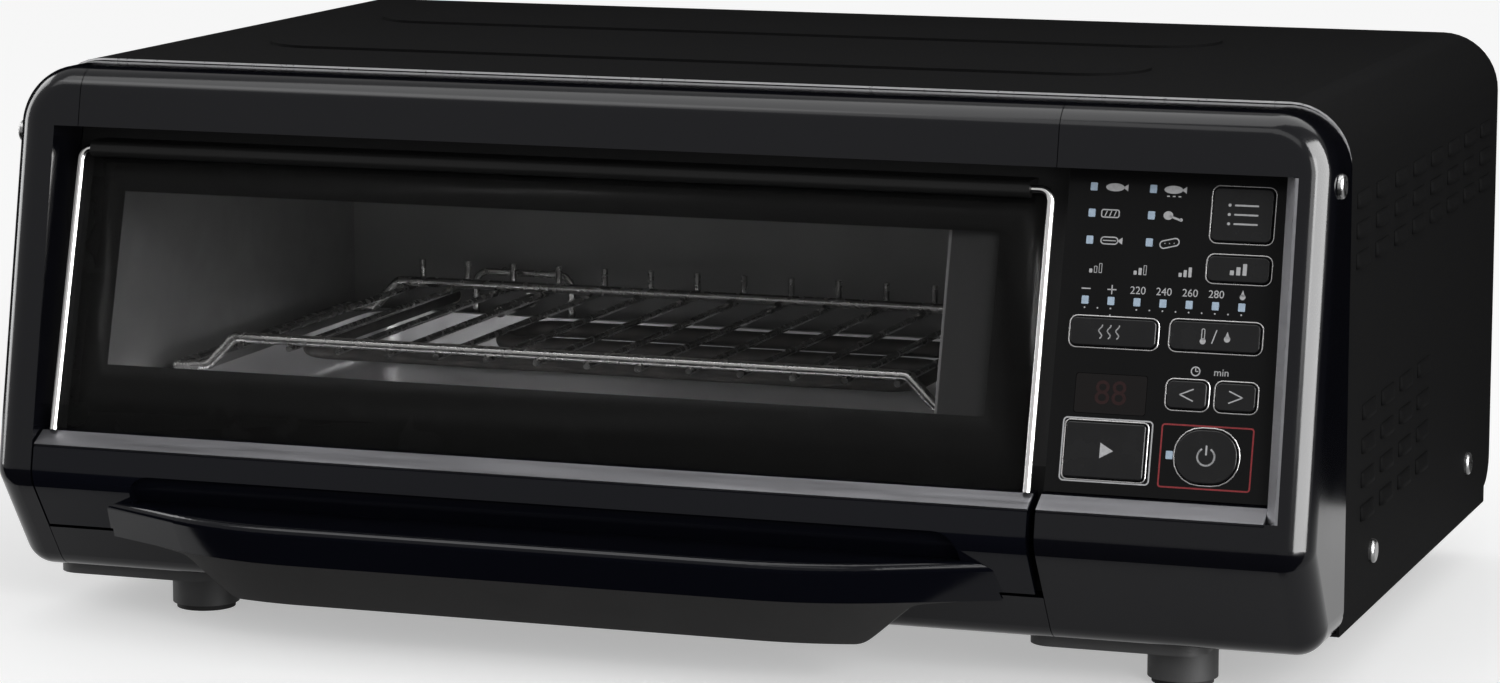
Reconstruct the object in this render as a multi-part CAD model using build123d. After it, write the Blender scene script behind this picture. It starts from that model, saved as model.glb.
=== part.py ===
from build123d import *
import math
import os

# Electric fish roaster: a sheet metal body with a drawer front, a roasting net over a drip tray and a
# control panel on its right. Sizes are millimetres. X runs along the front, Z is up and the drawer opens
# towards -Y. While it is modelled, y is measured from the seam between the front frame and the cover;
# the last lines shift everything so that the origin is under the middle of the body.

# ---- body and front frame ----
BODY_W = 494.0
COVER_TOP = 206.0
COVER_LOW = 28.0
COVER_DEPTH = 264.0
COVER_R = 22.0
COVER_FOOT_R = 12.0
SHEET = 1.2
FIT = 0.3
OVER = 1.0
WALL_GAP = 8.0
WALL_SPACER = 30.0
WALL_SPACER_SIDE = 82.0
WALL_SPACER_TOP = 189.0
FRAME_DROP = 1.0
FRAME_LOW = 19.0
FRAME_WALL = 2.5
EDGE_R = 11.0
BROW_Y = 26.8
NOSE_Y = 56.4
NOSE_Z = 56.9
NOSE_R = 10.0
BELLY_Y = 30.0
BELLY_R = 12.0

# ---- recess that holds the glass and the control plate ----
RECESS_LOW_Y = -45.0
RECESS_LOW_Z = 74.0
RECESS_LEAN = 0.28
RECESS_TOP_Z = 184.0
BEVEL_TOP_Y = -46.5
BEVEL_TOP_Z = 73.5
BEVEL_LOW_Z = 69.4
STRIP_THICK = 0.8

# ---- drawer front ----
DOOR_SIDE = 18.0
HOUSING_W = 95.5
DOOR_LOW = 37.5
DOOR_BACK = -40.5
DOOR_GAP = 3.0
PILLAR_HEAD = 27.0
GLASS_THICK = 4.0
GLASS_TOP = 175.0
GLASS_SIDE_GAP = 6.5
GLASS_SIDE_GAP_R = 3.9
GLASS_WIRE_R = 1.5
GLASS_WIRE_BEND = 4.0
CAP_SIDE = 9.0
CAP_SIDE_R = 9.5
CAP_TOP = 177.5
CAP_LIP_LOW = 171.7
CAP_LEG_LOW = 168.7
CAP_LIP = 5.0
CAP_LEG = 1.4
CAP_BORE_GAP = 0.1

# ---- handle ----
HANDLE_REACH = 78.4
HANDLE_TOP = 49.3
HANDLE_TOP_THICK = 3.0
HANDLE_SPLIT = 34.2
HANDLE_LOW = 17.8
HANDLE_SIDE = 24.0
HANDLE_SIDE_R = 10.5
HANDLE_SHOULDER = 60.0
HANDLE_SHOULDER_R = 110.0
HANDLE_ROOT_Y = -49.5
HANDLE_LEAN = 0.6
HANDLE_WALL = 5.0
HANDLE_EDGE_R = 2.4
GRIP_SIDE = 57.0
GRIP_SIDE_R = 48.0
GRIP_END_RUN = 18.0
GRIP_FLARE = 16.0
GRIP_FLARE_DROP = 1.0
GRIP_END_R = 9.0
SCOOP_TOP = 60.0
SCOOP_DEPTH = 4.0
SCOOP_SIDE = 14.0
SCOOP_R = 9.0

# ---- roasting cavity ----
CAVITY_SIDE = 9.0
CAVITY_SIDE_R = 40.5
CAVITY_LOW = 50.0
CAVITY_TOP = 182.0
CAVITY_REAR_GAP = 49.0
CAVITY_SHEET = 1.0
MOUTH_Y = -36.0
MOUTH_GAP = 7.0
MOUTH_TOP = 168.0
SUPPORT_W = 18.0
RAIL_SHELF = 9.0
RAIL_Z = 56.0
RAIL_OPEN = 3.3
RAIL_FRONT = -34.0
RAIL_END = 8.0
RUN_GAP = 0.4

# ---- drawer inside ----
ARM_THICK = 1.5
ARM_INSET = 10.5
ARM_END = 12.0
SLIDE_W = 7.0
TRAY_WALL = 1.0
TRAY_INSET = 16.0
TRAY_FRONT = -8.0
TRAY_END = 14.0
TRAY_LOW = 62.0
TRAY_RIM = 84.0
TRAY_FLANGE = 12.0
TRAY_CORNER_R = 18.0
TRAY_FLOOR_R = 6.0
CROSS_BAR_Y = 20.0
CROSS_BAR_END = 37.0
CROSS_BAR_W = 14.0
CARRIER_SCREW_SIDE = 30.0
CARRIER_SCREWS_Z = 66.0
BOSS_LONG = 10.0

# ---- net ----
NET_WIRE_R = 1.3
NET_BAR_R = 2.0
NET_Z = 95.5
NET_WIRES = 14
NET_PITCH = 20.0
NET_FRONT = 30.0
NET_END = 12.0
NET_TURN_UP = 9.5
NET_BAR_END = 6.5
NET_SHOULDER = 11.0
NET_REAR_BAR_END = 29.0
NET_WELD = 0.3
NET_OFFSET = 2.0

# ---- heaters, sensor and smoke outlet ----
UPPER_HEATER_R = 5.2
UPPER_HEATER_Z = 168.0
UPPER_HEATERS_Y = (70.0, 140.0)
UPPER_HOLE_GAP = 0.8
UPPER_STICK_OUT = 7.5
HOLDER_SIDE = 20.0
HOLDER_THICK = 7.0
REFLECTOR_DROP = 7.0
REFLECTOR_HALF = 27.0
REFLECTOR_UNDER = 0.83
LOWER_HEATER_R = 3.2
LOWER_HEATER_Z = 89.0
LOWER_SIDE = 44.0
LOWER_SIDE_R = 38.0
LOWER_TURN = 64.0
LOWER_RUNS_Y = (65.0, 105.0, 145.0)
LOWER_BEND = 12.0
TERMINAL_R = 6.5
TERMINAL_LONG = 9.0
TERMINAL_GAP = 0.05
SENSOR_SIDE = 78.5
SENSOR_Z = 88.5
SENSOR_R = 2.5
SENSOR_REACH = 34.0
SENSOR_NUT = 11.0
GUARD_W = 45.0
GUARD_H = 27.0
GUARD_R = 1.4
GUARD_BEND = 7.0
GUARD_STAND = 6.8
OUTLET_SIDE = 185.0
OUTLET_Z = 150.0
OUTLET_W = 84.0
OUTLET_H = 50.0
OUTLET_EDGE = 3.0
FILTER_THICK = 11.0
FILTER_CELL = 6.0
FILTER_WEB = 1.5
FAN_R = 20.0
FAN_HUB_R = 8.0
FAN_THICK = 8.0
FAN_BLADES = 7
BLADE_PITCH = 35.0
BLADE_WIDE = 9.6
BLADE_ROOT = 2.0
FAN_REAR_GAP = 24.0
SHAFT_R = 1.5
SHAFT_GAP = 0.05
MOTOR_R = 11.0
MOTOR_LONG = 9.0
MOTOR_ARM = 5.0
MOTOR_ARM_THICK = 2.0

# ---- controls: name, x from the pocket's middle, z, width, height along the slope, corner radius ----
PLATE_THICK = 1.5
PLATE_BACKING = 2.5
POCKET_SIDE = 16.0
RIM_BEVEL = 3.5
BUTTONS = (
    ("menu_button", 22.45, 168.6, 21.0, 18.5, 2.0),
    ("level_button", 22.55, 150.6, 21.5, 8.8, 2.0),
    ("smoke_button", -19.35, 127.8, 30.0, 9.6, 2.0),
    ("temperature_button", 16.35, 128.1, 31.2, 9.9, 2.0),
    ("timer_down_button", 8.05, 108.6, 13.8, 9.5, 2.0),
    ("timer_up_button", 25.05, 108.6, 13.8, 9.5, 2.0),
    ("start_button", -19.05, 88.7, 27.9, 19.1, 1.2),
    ("power_button", 16.45, 88.7, 21.5, 18.3, 8.6),
)
BUTTON_RISE = 1.2
BUTTON_GAP = 0.35
BUTTON_FLANGE = 1.0
BUTTON_FLANGE_THICK = 1.0
BUTTON_STEM_R = 2.0
BUTTON_TRAVEL = 0.7
BUTTON_EDGE = 0.5
BOARD_DEPTH = 12.0
BOARD_THICK = 1.6
SWITCH_SIDE = 6.0
SWITCH_BODY = 2.0
SWITCH_TIP_R = 1.6
SWITCH_TIP = 1.2
SWITCH_SLACK = 0.1
MENU_LAMPS_X = (-30.55, -9.55)
MENU_LAMPS_Z = (176.1, 167.3, 158.3)
HEAT_LAMP_FIRST = -30.45
HEAT_LAMP_PITCH = 9.15
HEAT_LAMPS = 7
HEAT_LAMPS_Z = 138.3
POWER_LAMP = (3.45, 88.7)
LAMP_W = 2.4
LAMP_H = 2.8
LAMP_RISE = 0.2
TRIM_FIT = 0.075
WINDOW = (-18.75, 107.5, 25.0, 13.5)
WINDOW_R = 1.0
BOARD_SCREW_R = 1.4
BOARD_POSTS = ((-20.25, 171.7), (0.75, 171.7), (-14.25, 118.0), (-0.75, 97.0), (35.25, 118.3))

# ---- right compartment ----
SHIELD_GAP = 18.0
POWER_BOARD_GAP = 14.0
POWER_BOARD_Y = (70.0, 190.0)
PART_EDGE = 10.0
RELAYS = 3
RELAY_W = 19.0
RELAY_H = 16.0
RELAY_GAP = 5.0
PART_GAP = 10.0
TRANSFORMER_W = 32.0
TRANSFORMER_H = 28.0
TRANSFORMER_T = 26.0
CAPACITOR_R = 8.0
CAPACITOR_T = 24.0
TERMINAL_W = 22.0
TERMINAL_T = 14.0
POWER_BOARD_Z = (62.0, 142.0)
SPACER_R = 3.0
SPACER_EDGE = 1.0
GLAND_SIDE = 47.0
GLAND_Z = 50.0
GLAND_R = 4.0
GLAND_NECK_R = 7.0
GLAND_FLANGE_R = 10.0
GLAND_OUT = 6.0

# ---- louvres, embossings and fasteners ----
SLOT_LONG = 20.0
SLOT_HIGH = 3.0
UPPER_SLOTS_Z = (171.0, 160.5, 150.0)
UPPER_SLOT_FIRST = 19.0
UPPER_SLOT_PITCH = 31.5
UPPER_SLOTS = 8
LOWER_SLOTS_Z = (95.0, 83.0, 71.0, 59.0)
LOWER_SLOT_FIRST = 34.0
LOWER_SLOTS = 4
EMBOSS_SIDE = 55.0
EMBOSS_SIDE_R = 93.0
EMBOSS_W = 49.0
EMBOSS_Y = (82.0, 189.0)
EMBOSS_RISE = 1.0
SCREW_HEAD_R = 4.3
SCREW_HEAD = 2.0
SCREW_HEAD_ROUND = 1.2
SCREW_R = 2.0
SCREW_LONG = 7.0
SCREW_GAP = 0.3
FRAME_SCREW = (-19.0, 180.0)
COVER_SCREW = (43.0, 43.0)
REAR_SIDE_SCREW_GAP = 48.0
REAR_SIDE_SCREW_Z = 44.0
REAR_SCREW_SIDE = 19.0
REAR_SCREW_DROP = 16.0
REAR_SCREW_Z = 44.0
BASE_FLANGE = 52.0
BASE_LOW = 20.5

# ---- feet ----
FOOT_SIDE = 58.0
FOOT_R = 12.5
FOOT_FRONT_Y = 5.0
FOOT_REAR_GAP = 24.0
FOOT_PLATE_LOW = 14.0
FOOT_PLATE_W = 64.0
FOOT_PLATE_SHIFT = 19.0
FOOT_PLATE_REACH = 24.0
FOOT_PLATE_BACK = 14.0
FOOT_PLATE_R = 9.0
SEAT_EDGE = 2.0
PAD_R = 11.0
PAD_THICK = 2.0

# ---- values that follow from the sizes above ----
HALF_W = BODY_W / 2
REAR_REACH = COVER_DEPTH + WALL_GAP
DOOR_LEFT = DOOR_SIDE - HALF_W
HOUSING_LEFT = HALF_W - HOUSING_W
DOOR_RIGHT = HOUSING_LEFT - DOOR_GAP
PILLAR_RIGHT = DOOR_LEFT - DOOR_GAP / 4
PILLAR_TOP_X = PILLAR_HEAD - HALF_W
POCKET_RIGHT = HALF_W - POCKET_SIDE
POCKET_MID = (HOUSING_LEFT + POCKET_RIGHT) / 2
CAP_LEFT = DOOR_LEFT + CAP_SIDE
CAP_RIGHT = DOOR_RIGHT - CAP_SIDE_R
HANDLE_LEFT = DOOR_LEFT + HANDLE_SIDE
HANDLE_RIGHT = DOOR_RIGHT - HANDLE_SIDE_R
GRIP_LEFT = HANDLE_LEFT + GRIP_SIDE
GRIP_RIGHT = HANDLE_RIGHT - GRIP_SIDE_R
CAVITY_LEFT = DOOR_LEFT + CAVITY_SIDE
CAVITY_RIGHT = DOOR_RIGHT - CAVITY_SIDE_R
CAVITY_BACK = COVER_DEPTH - CAVITY_REAR_GAP
RAIL_BACK = CAVITY_BACK - RAIL_END
ARM_BACK = CAVITY_BACK - ARM_END
TRAY_BACK = CAVITY_BACK - TRAY_END
NET_BACK = CAVITY_BACK - NET_END
NET_REAR_BAR_Y = CAVITY_BACK - NET_REAR_BAR_END
LOWER_LEFT = CAVITY_LEFT + LOWER_SIDE
LOWER_RIGHT = CAVITY_RIGHT - LOWER_SIDE_R
LOWER_TURN_LEFT = LOWER_LEFT + LOWER_TURN
SENSOR_X = CAVITY_LEFT + SENSOR_SIDE
OUTLET_X = CAVITY_LEFT + OUTLET_SIDE
FAN_Y = COVER_DEPTH - FAN_REAR_GAP
SHIELD_X = CAVITY_RIGHT + SHIELD_GAP
POWER_BOARD_X = SHIELD_X + POWER_BOARD_GAP
GLAND_X = HALF_W - GLAND_SIDE
EMBOSS_LEFT = EMBOSS_SIDE - HALF_W
EMBOSS_RIGHT = HALF_W - EMBOSS_SIDE_R
COVER_SCREWS = (COVER_SCREW, (COVER_DEPTH - REAR_SIDE_SCREW_GAP, REAR_SIDE_SCREW_Z))
REAR_SCREW_X = HALF_W - REAR_SCREW_SIDE
REAR_SCREW_HIGH = COVER_TOP - REAR_SCREW_DROP
REAR_SCREWS = [(x, z) for x in (-REAR_SCREW_X, REAR_SCREW_X) for z in (REAR_SCREW_HIGH, REAR_SCREW_Z)]
FOOT_X = HALF_W - FOOT_SIDE
FOOT_REAR_Y = COVER_DEPTH - FOOT_REAR_GAP
FRAME_TOP = COVER_TOP - FRAME_DROP
OUT_LEAN = (NOSE_Y - BROW_Y) / (FRAME_TOP - NOSE_Z)
SLOPE = math.hypot(1, RECESS_LEAN)
CAVITY_MID = (CAVITY_LEFT + CAVITY_RIGHT) / 2
CARRIER_SCREWS_X = (CAVITY_LEFT + CARRIER_SCREW_SIDE, CAVITY_MID, CAVITY_RIGHT - CARRIER_SCREW_SIDE)
NET_FIRST_X = CAVITY_MID - NET_PITCH * (NET_WIRES - 1) / 2 + NET_OFFSET
NET_BAR_Z = NET_Z + NET_WIRE_R + NET_BAR_R - NET_WELD
NET_RAIL_Z = TRAY_RIM + NET_BAR_R
NET_SIDE = CAVITY_RIGHT - CAVITY_MID - NET_BAR_END - NET_BAR_R
BACKING_DEPTH = PLATE_THICK + PLATE_BACKING
FLANGE_DEPTH = BACKING_DEPTH + FIT
STEM_DEPTH = BOARD_DEPTH - SWITCH_BODY - SWITCH_TIP - SWITCH_SLACK - BUTTON_TRAVEL
SWITCH_TOP = STEM_DEPTH + BUTTON_TRAVEL + SWITCH_SLACK
HANDLE_TIP = HANDLE_REACH - HANDLE_EDGE_R * (math.hypot(1, HANDLE_LEAN) + HANDLE_LEAN - 1)
SHIFT_Y = (HANDLE_TIP - REAR_REACH) / 2
PANEL = Plane(origin=(POCKET_MID, RECESS_LOW_Y, RECESS_LOW_Z), x_dir=(1, 0, 0), z_dir=(0, -1, RECESS_LEAN))


def out_y(z):
    """Outer face of the front frame above the nose."""
    return -BROW_Y - OUT_LEAN * (FRAME_TOP - z)


def recess_y(z):
    """Front face of the glass and of the control plate."""
    return RECESS_LOW_Y + RECESS_LEAN * (z - RECESS_LOW_Z)


def block(x_from, x_to, y_from, y_to, z_from, z_to):
    """Box between two corners."""
    box = Box(x_to - x_from, y_to - y_from, z_to - z_from)
    return Pos((x_from + x_to) / 2, (y_from + y_to) / 2, (z_from + z_to) / 2) * box


def yz_prism(points, x_from, x_to):
    """Closed side outline of (y, z) points, extruded along X."""
    face = make_face(Polyline(*points, close=True))
    return Pos(x_from, 0, 0) * extrude(Plane.YZ * face, amount=x_to - x_from)


def xz_prism(face, y_from, y_to):
    """Sketch seen from the front, extruded along Y."""
    return extrude(Plane.XZ.offset(-y_to) * face, amount=y_to - y_from)


def cylinder(start, direction, radius, length):
    """Round bar from a point along a direction."""
    return Solid.make_cylinder(radius, length, Plane(origin=start, z_dir=direction))


def wire(points, radius, bend):
    """Round wire along straight runs joined by arcs."""
    path = FilletPolyline(*points, radius=bend)
    return sweep(Plane(origin=path @ 0, z_dir=path % 0) * Circle(radius), path=path)


def panel_block(x, z, width, height, depth_from, depth_to, radius=0.3):
    """Block on the control panel; depth is measured inwards from the plate's front face."""
    outline = RectangleRounded(width, height, radius)
    place = PANEL.location * Pos(x, (z - RECESS_LOW_Z) * SLOPE, -depth_to)
    return extrude(place * outline, amount=depth_to - depth_from)


def panel_rod(x, z, radius, depth_from, depth_to):
    """Round bar that stands square to the control panel."""
    place = PANEL.location * Pos(x, (z - RECESS_LOW_Z) * SLOPE, -depth_to)
    return extrude(place * Circle(radius), amount=depth_to - depth_from)


def front_envelope(inset, back=0.0):
    """Outer form of the whole front frame, or the same form moved inwards by a wall."""
    front = [(-BELLY_Y, FRAME_LOW), (-NOSE_Y, NOSE_Z), (-BROW_Y, FRAME_TOP)]
    points = [(back, FRAME_LOW), *front, (back, FRAME_TOP)]
    side = make_face(Polyline(*points, close=True))
    side = fillet([v for v in side.vertices() if v.X < -BELLY_Y - 1], NOSE_R)
    side = fillet([v for v in side.vertices() if abs(v.X + BELLY_Y) < 0.1], BELLY_R)
    if inset:
        side = offset(side, amount=-inset)
    half = HALF_W - inset
    prism = Pos(-half, 0, 0) * extrude(Plane.YZ * side, amount=2 * half)
    front = Pos(0, (FRAME_TOP + FRAME_LOW) / 2) * Rectangle(2 * half, FRAME_TOP - FRAME_LOW - 2 * inset)
    front = fillet([v for v in front.vertices() if v.Y > NOSE_Z], COVER_R - inset)
    form = prism & xz_prism(front, -NOSE_Y - OVER, back + OVER)
    return fillet(rim_edges(form), EDGE_R - inset)


def rim_edges(form):
    """Edges round the front of the frame, without its nose, belly and corner lines."""
    rear = form.bounding_box().max.Y - 0.01
    edges = []
    for edge in form.edges():
        size = edge.bounding_box().size
        low_line = size.X > COVER_R * 2 and edge.center().Z < RECESS_TOP_Z
        corner_line = size.X < 0.01 and size.Z < 0.01 and edge.center().Z > NOSE_Z
        at_rear = edge.bounding_box().min.Y > rear
        if not (low_line or corner_line or at_rear):
            edges.append(edge)
    return edges


def frame_shell(outer, inner):
    """Part of the front frame: its own outer block, hollowed by its own inner block."""
    return (front_envelope(0) & outer) - (front_envelope(FRAME_WALL, FRAME_WALL * 4) & inner)


def bevel_cut(x_from, x_to, depth):
    """Space in front of the bevel under the recess, moved inwards by depth."""
    low_y = out_y(BEVEL_LOW_Z)
    run = math.hypot(low_y - BEVEL_TOP_Y, BEVEL_LOW_Z - BEVEL_TOP_Z)
    along = ((low_y - BEVEL_TOP_Y) / run, (BEVEL_LOW_Z - BEVEL_TOP_Z) / run)
    top = (BEVEL_TOP_Y - along[1] * depth, BEVEL_TOP_Z + along[0] * depth)
    reach = run + NOSE_R
    low = (top[0] + along[0] * reach, top[1] + along[1] * reach)
    return yz_prism([top, low, (low[0], RECESS_TOP_Z), (top[0], RECESS_TOP_Z)], x_from, x_to)


def bevel_strip(x_from, x_to):
    """Bright strip that lies on the bevel."""
    low_y = out_y(BEVEL_LOW_Z)
    run = math.hypot(low_y - BEVEL_TOP_Y, BEVEL_LOW_Z - BEVEL_TOP_Z)
    inward = (-(BEVEL_LOW_Z - BEVEL_TOP_Z) / run * STRIP_THICK, (low_y - BEVEL_TOP_Y) / run * STRIP_THICK)
    top = (BEVEL_TOP_Y, BEVEL_TOP_Z)
    low = (low_y, BEVEL_LOW_Z)
    back_low = (low[0] + inward[0], low[1] + inward[1])
    back_top = (top[0] + inward[0], top[1] + inward[1])
    return yz_prism([top, low, back_low, back_top], x_from, x_to)


def screw_holes(solid, places, axis_x, wall_x):
    """Clearance holes through a side wall."""
    for y, z in places:
        start = (wall_x - axis_x * SCREW_LONG, y, z)
        hole = cylinder(start, (axis_x, 0, 0), SCREW_R + SCREW_GAP, 2 * SCREW_LONG)
        solid = solid - hole
    return solid


# ---- casing ----
def cover_section(inset, low):
    """Front view of the cover: a rectangle with round upper corners."""
    high = COVER_TOP - inset
    section = Pos(0, (high + low) / 2) * Rectangle(BODY_W - 2 * inset, high - low)
    return fillet([v for v in section.vertices() if v.Y > high - 1], COVER_R - inset)


def emboss(y, inset, z_from, z_to):
    """Long field with round ends on the top of the cover."""
    field = SlotOverall(EMBOSS_RIGHT - EMBOSS_LEFT - 2 * inset, EMBOSS_W - 2 * inset)
    return Pos((EMBOSS_LEFT + EMBOSS_RIGHT) / 2, y, z_from) * extrude(field, amount=z_to - z_from)


def slot_cut(y, z):
    """One louvre opening, through both side walls."""
    half = SLOT_LONG / 2
    return block(-HALF_W - OVER, HALF_W + OVER, y - half, y + half, z - SLOT_HIGH / 2, z + SLOT_HIGH / 2)


def top_cover():
    """One folded sheet over the top and both sides, with louvres and two raised fields."""
    outer = xz_prism(cover_section(0, COVER_LOW), 0, COVER_DEPTH)
    cover = outer - xz_prism(cover_section(SHEET, COVER_LOW - COVER_R), -OVER, COVER_DEPTH + OVER)
    feet = [e for e in cover.edges() if e.center().Z < COVER_LOW + 0.1 and e.center().Y > COVER_DEPTH - 0.1]
    cover = fillet(feet, COVER_FOOT_R) if feet else cover
    for y in EMBOSS_Y:
        cover = cover + emboss(y, 0, COVER_TOP - SHEET, COVER_TOP + EMBOSS_RISE)
        cover = cover - emboss(y, SHEET, COVER_TOP - 2 * SHEET, COVER_TOP + EMBOSS_RISE - SHEET)
    cuts = []
    for z in UPPER_SLOTS_Z:
        cuts += [slot_cut(UPPER_SLOT_FIRST + UPPER_SLOT_PITCH * i, z) for i in range(UPPER_SLOTS)]
    for z in LOWER_SLOTS_Z:
        cuts += [slot_cut(LOWER_SLOT_FIRST + UPPER_SLOT_PITCH * i, z) for i in range(LOWER_SLOTS)]
    cover = cover - cuts
    cover = screw_holes(cover, COVER_SCREWS, 1, HALF_W)
    return screw_holes(cover, COVER_SCREWS, -1, -HALF_W)


def rear_panel():
    """Back sheet inside the cover's rear edge, with the outlet grille and holes for gland and screws."""
    y_from = COVER_DEPTH - SHEET
    panel = xz_prism(cover_section(SHEET + FIT, COVER_LOW), y_from, COVER_DEPTH)
    slots = int((OUTLET_H - 2 * SLOT_HIGH) / (2 * SLOT_HIGH))
    for i in range(slots):
        z = OUTLET_Z + (i - (slots - 1) / 2) * 2 * SLOT_HIGH
        half = (OUTLET_W - 2 * SLOT_HIGH) / 2
        low, high = z - SLOT_HIGH / 2, z + SLOT_HIGH / 2
        panel = panel - block(OUTLET_X - half, OUTLET_X + half, y_from - OVER, COVER_DEPTH + OVER, low, high)
    panel = panel - cylinder((GLAND_X, y_from - OVER, GLAND_Z), (0, 1, 0), GLAND_NECK_R + FIT, 2 * SHEET)
    for x, z in REAR_SCREWS:
        panel = panel - cylinder((x, y_from - OVER, z), (0, 1, 0), SCREW_R + SCREW_GAP, 2 * SHEET)
    return panel


def bottom_plate():
    """Shallow sheet tray that closes the body from below and takes the cover's side screws."""
    half = HALF_W - SHEET - FIT
    back = COVER_DEPTH - SHEET - FIT
    plate = block(-half, half, FIT, back, BASE_LOW, BASE_FLANGE)
    inside = half - SHEET
    plate = plate - block(-inside, inside, -OVER, back + OVER, BASE_LOW + SHEET, BASE_FLANGE + OVER)
    plate = screw_holes(plate, COVER_SCREWS, 1, HALF_W)
    return screw_holes(plate, COVER_SCREWS, -1, -HALF_W)


def front_left_pillar():
    """Left end of the front frame, with the corner above the drawer."""
    left = -HALF_W - OVER
    wall = FRAME_WALL
    head_x = PILLAR_TOP_X - FIT / 2
    front = -NOSE_Y - OVER
    outer = block(left, PILLAR_RIGHT, front, 0, FRAME_LOW, FRAME_TOP)
    outer = outer + block(left, head_x, front, 0, RECESS_TOP_Z, FRAME_TOP)
    inner = block(left, PILLAR_RIGHT - wall, front, OVER, FRAME_LOW, FRAME_TOP)
    inner = inner + block(left, head_x - wall, front, OVER, RECESS_TOP_Z + wall, FRAME_TOP)
    return screw_holes(frame_shell(outer, inner), [FRAME_SCREW], -1, -HALF_W)


def front_top_panel():
    """Glossy brow over the drawer."""
    left = PILLAR_TOP_X + FIT / 2
    right = HOUSING_LEFT - FIT
    front = -NOSE_Y - OVER
    outer = block(left, right, front, 0, RECESS_TOP_Z, FRAME_TOP)
    inner = block(left + FRAME_WALL, right - FRAME_WALL, front, OVER, RECESS_TOP_Z + FRAME_WALL, FRAME_TOP)
    return frame_shell(outer, inner)


def front_base():
    """Lower lip of the frame, under the drawer front."""
    left = PILLAR_RIGHT + FIT
    right = HOUSING_LEFT - FIT
    front = -NOSE_Y - OVER
    top = DOOR_LOW - FRAME_WALL / 2
    outer = block(left, right, front, 0, FRAME_LOW, top)
    inner = block(left + FRAME_WALL, right - FRAME_WALL, front, OVER, FRAME_LOW, top - FRAME_WALL)
    return frame_shell(outer, inner)


def mouth_line(shift):
    """Side view of the plane behind the door where the cavity opens, from low to high, as (y, z) points."""
    knee_z = RECESS_LOW_Z + (MOUTH_Y - MOUTH_GAP - RECESS_LOW_Y) / RECESS_LEAN
    top = RECESS_TOP_Z - FIT
    return [(MOUTH_Y + shift, DOOR_LOW), (MOUTH_Y + shift, knee_z), (recess_y(top) + MOUTH_GAP + shift, top)]


def front_bulkhead():
    """Black sheet round the cavity's mouth, behind the drawer front."""
    outline = mouth_line(0) + mouth_line(SHEET)[::-1]
    sheet = yz_prism(outline, PILLAR_RIGHT + FIT, HOUSING_LEFT - FIT)
    gap = CAVITY_SHEET + FIT
    mouth = block(CAVITY_LEFT - gap, CAVITY_RIGHT + gap, -NOSE_Y, 0, CAVITY_LOW - gap, MOUTH_TOP)
    return sheet - mouth


# ---- control side ----
def panel_pocket(depth, grow):
    """Space in front of the control plate, down to a depth behind its front face."""
    low_z = RECESS_LOW_Z - grow
    high_z = RECESS_TOP_Z + grow
    front = -NOSE_Y - OVER
    slope = [(recess_y(z) + depth, z) for z in (low_z, high_z)]
    points = [*slope, (front, high_z), (front, low_z)]
    return yz_prism(points, HOUSING_LEFT - OVER, POCKET_RIGHT + grow)


def rim_wedge(depth):
    """Space over the bevel on the pocket's right rim, or the layer under it."""
    z = RECESS_LOW_Z
    y = out_y(z)
    low = (POCKET_RIGHT, y + RIM_BEVEL)
    high = (POCKET_RIGHT + RIM_BEVEL, y)
    skin = depth * math.sqrt(2)
    front = y - EDGE_R
    points = [(low[0], low[1] + skin), (high[0] + skin, high[1]), (high[0] + skin, front), (low[0], front)]
    face = make_face(Polyline(*points, close=True))
    reach = (RECESS_TOP_Z - BEVEL_LOW_Z) * 2
    solid = Pos(0, 0, z) * extrude(face, amount=reach, dir=(0, OUT_LEAN, 1))
    solid = solid + Pos(0, 0, z) * extrude(face, amount=NOSE_R, dir=(0, -OUT_LEAN, -1))
    return solid & block(0, HALF_W, -2 * NOSE_Y, 0, BEVEL_LOW_Z, RECESS_TOP_Z)


def control_housing():
    """Right end of the front frame, with the pocket for the control plate and its board posts."""
    front = -NOSE_Y - OVER
    outer = block(HOUSING_LEFT, HALF_W + OVER, front, 0, FRAME_LOW, FRAME_TOP)
    inner = block(HOUSING_LEFT + FRAME_WALL, HALF_W + OVER, front, OVER, FRAME_LOW, FRAME_TOP)
    inner = inner - panel_pocket(BACKING_DEPTH * SLOPE, FRAME_WALL)
    inner = inner - bevel_cut(HOUSING_LEFT, POCKET_RIGHT + FRAME_WALL, STRIP_THICK + FRAME_WALL)
    inner = inner - rim_wedge(STRIP_THICK + FRAME_WALL)
    housing = frame_shell(outer, inner) - panel_pocket(PLATE_THICK * SLOPE, 0)
    housing = housing - bevel_cut(HOUSING_LEFT - OVER, POCKET_RIGHT, STRIP_THICK) - rim_wedge(STRIP_THICK)
    for x, z in BOARD_POSTS:
        housing = housing + panel_rod(x, z, SPACER_R, BACKING_DEPTH - OVER, BOARD_DEPTH)
        housing = housing - panel_rod(x, z, BOARD_SCREW_R + FIT, BACKING_DEPTH + OVER, BOARD_DEPTH + OVER)
    return screw_holes(housing - panel_openings(), [FRAME_SCREW], 1, HALF_W)


def panel_openings():
    """Openings for buttons, lamps and the timer's window, through plate and housing."""
    cuts = []
    for name, x, z, width, height, radius in BUTTONS:
        gap = 2 * BUTTON_GAP
        cut = panel_block(x, z, width + gap, height + gap, -OVER, BACKING_DEPTH + OVER, radius + BUTTON_GAP)
        cuts.append(cut)
    for x, z in lamp_places():
        cuts.append(panel_block(x, z, LAMP_W + FIT, LAMP_H + FIT, -OVER, BACKING_DEPTH + OVER))
    x, z, width, height = WINDOW
    cuts.append(panel_block(x, z, width + FIT, height + FIT, -OVER, BACKING_DEPTH + OVER, WINDOW_R))
    return Compound(cuts)


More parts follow.
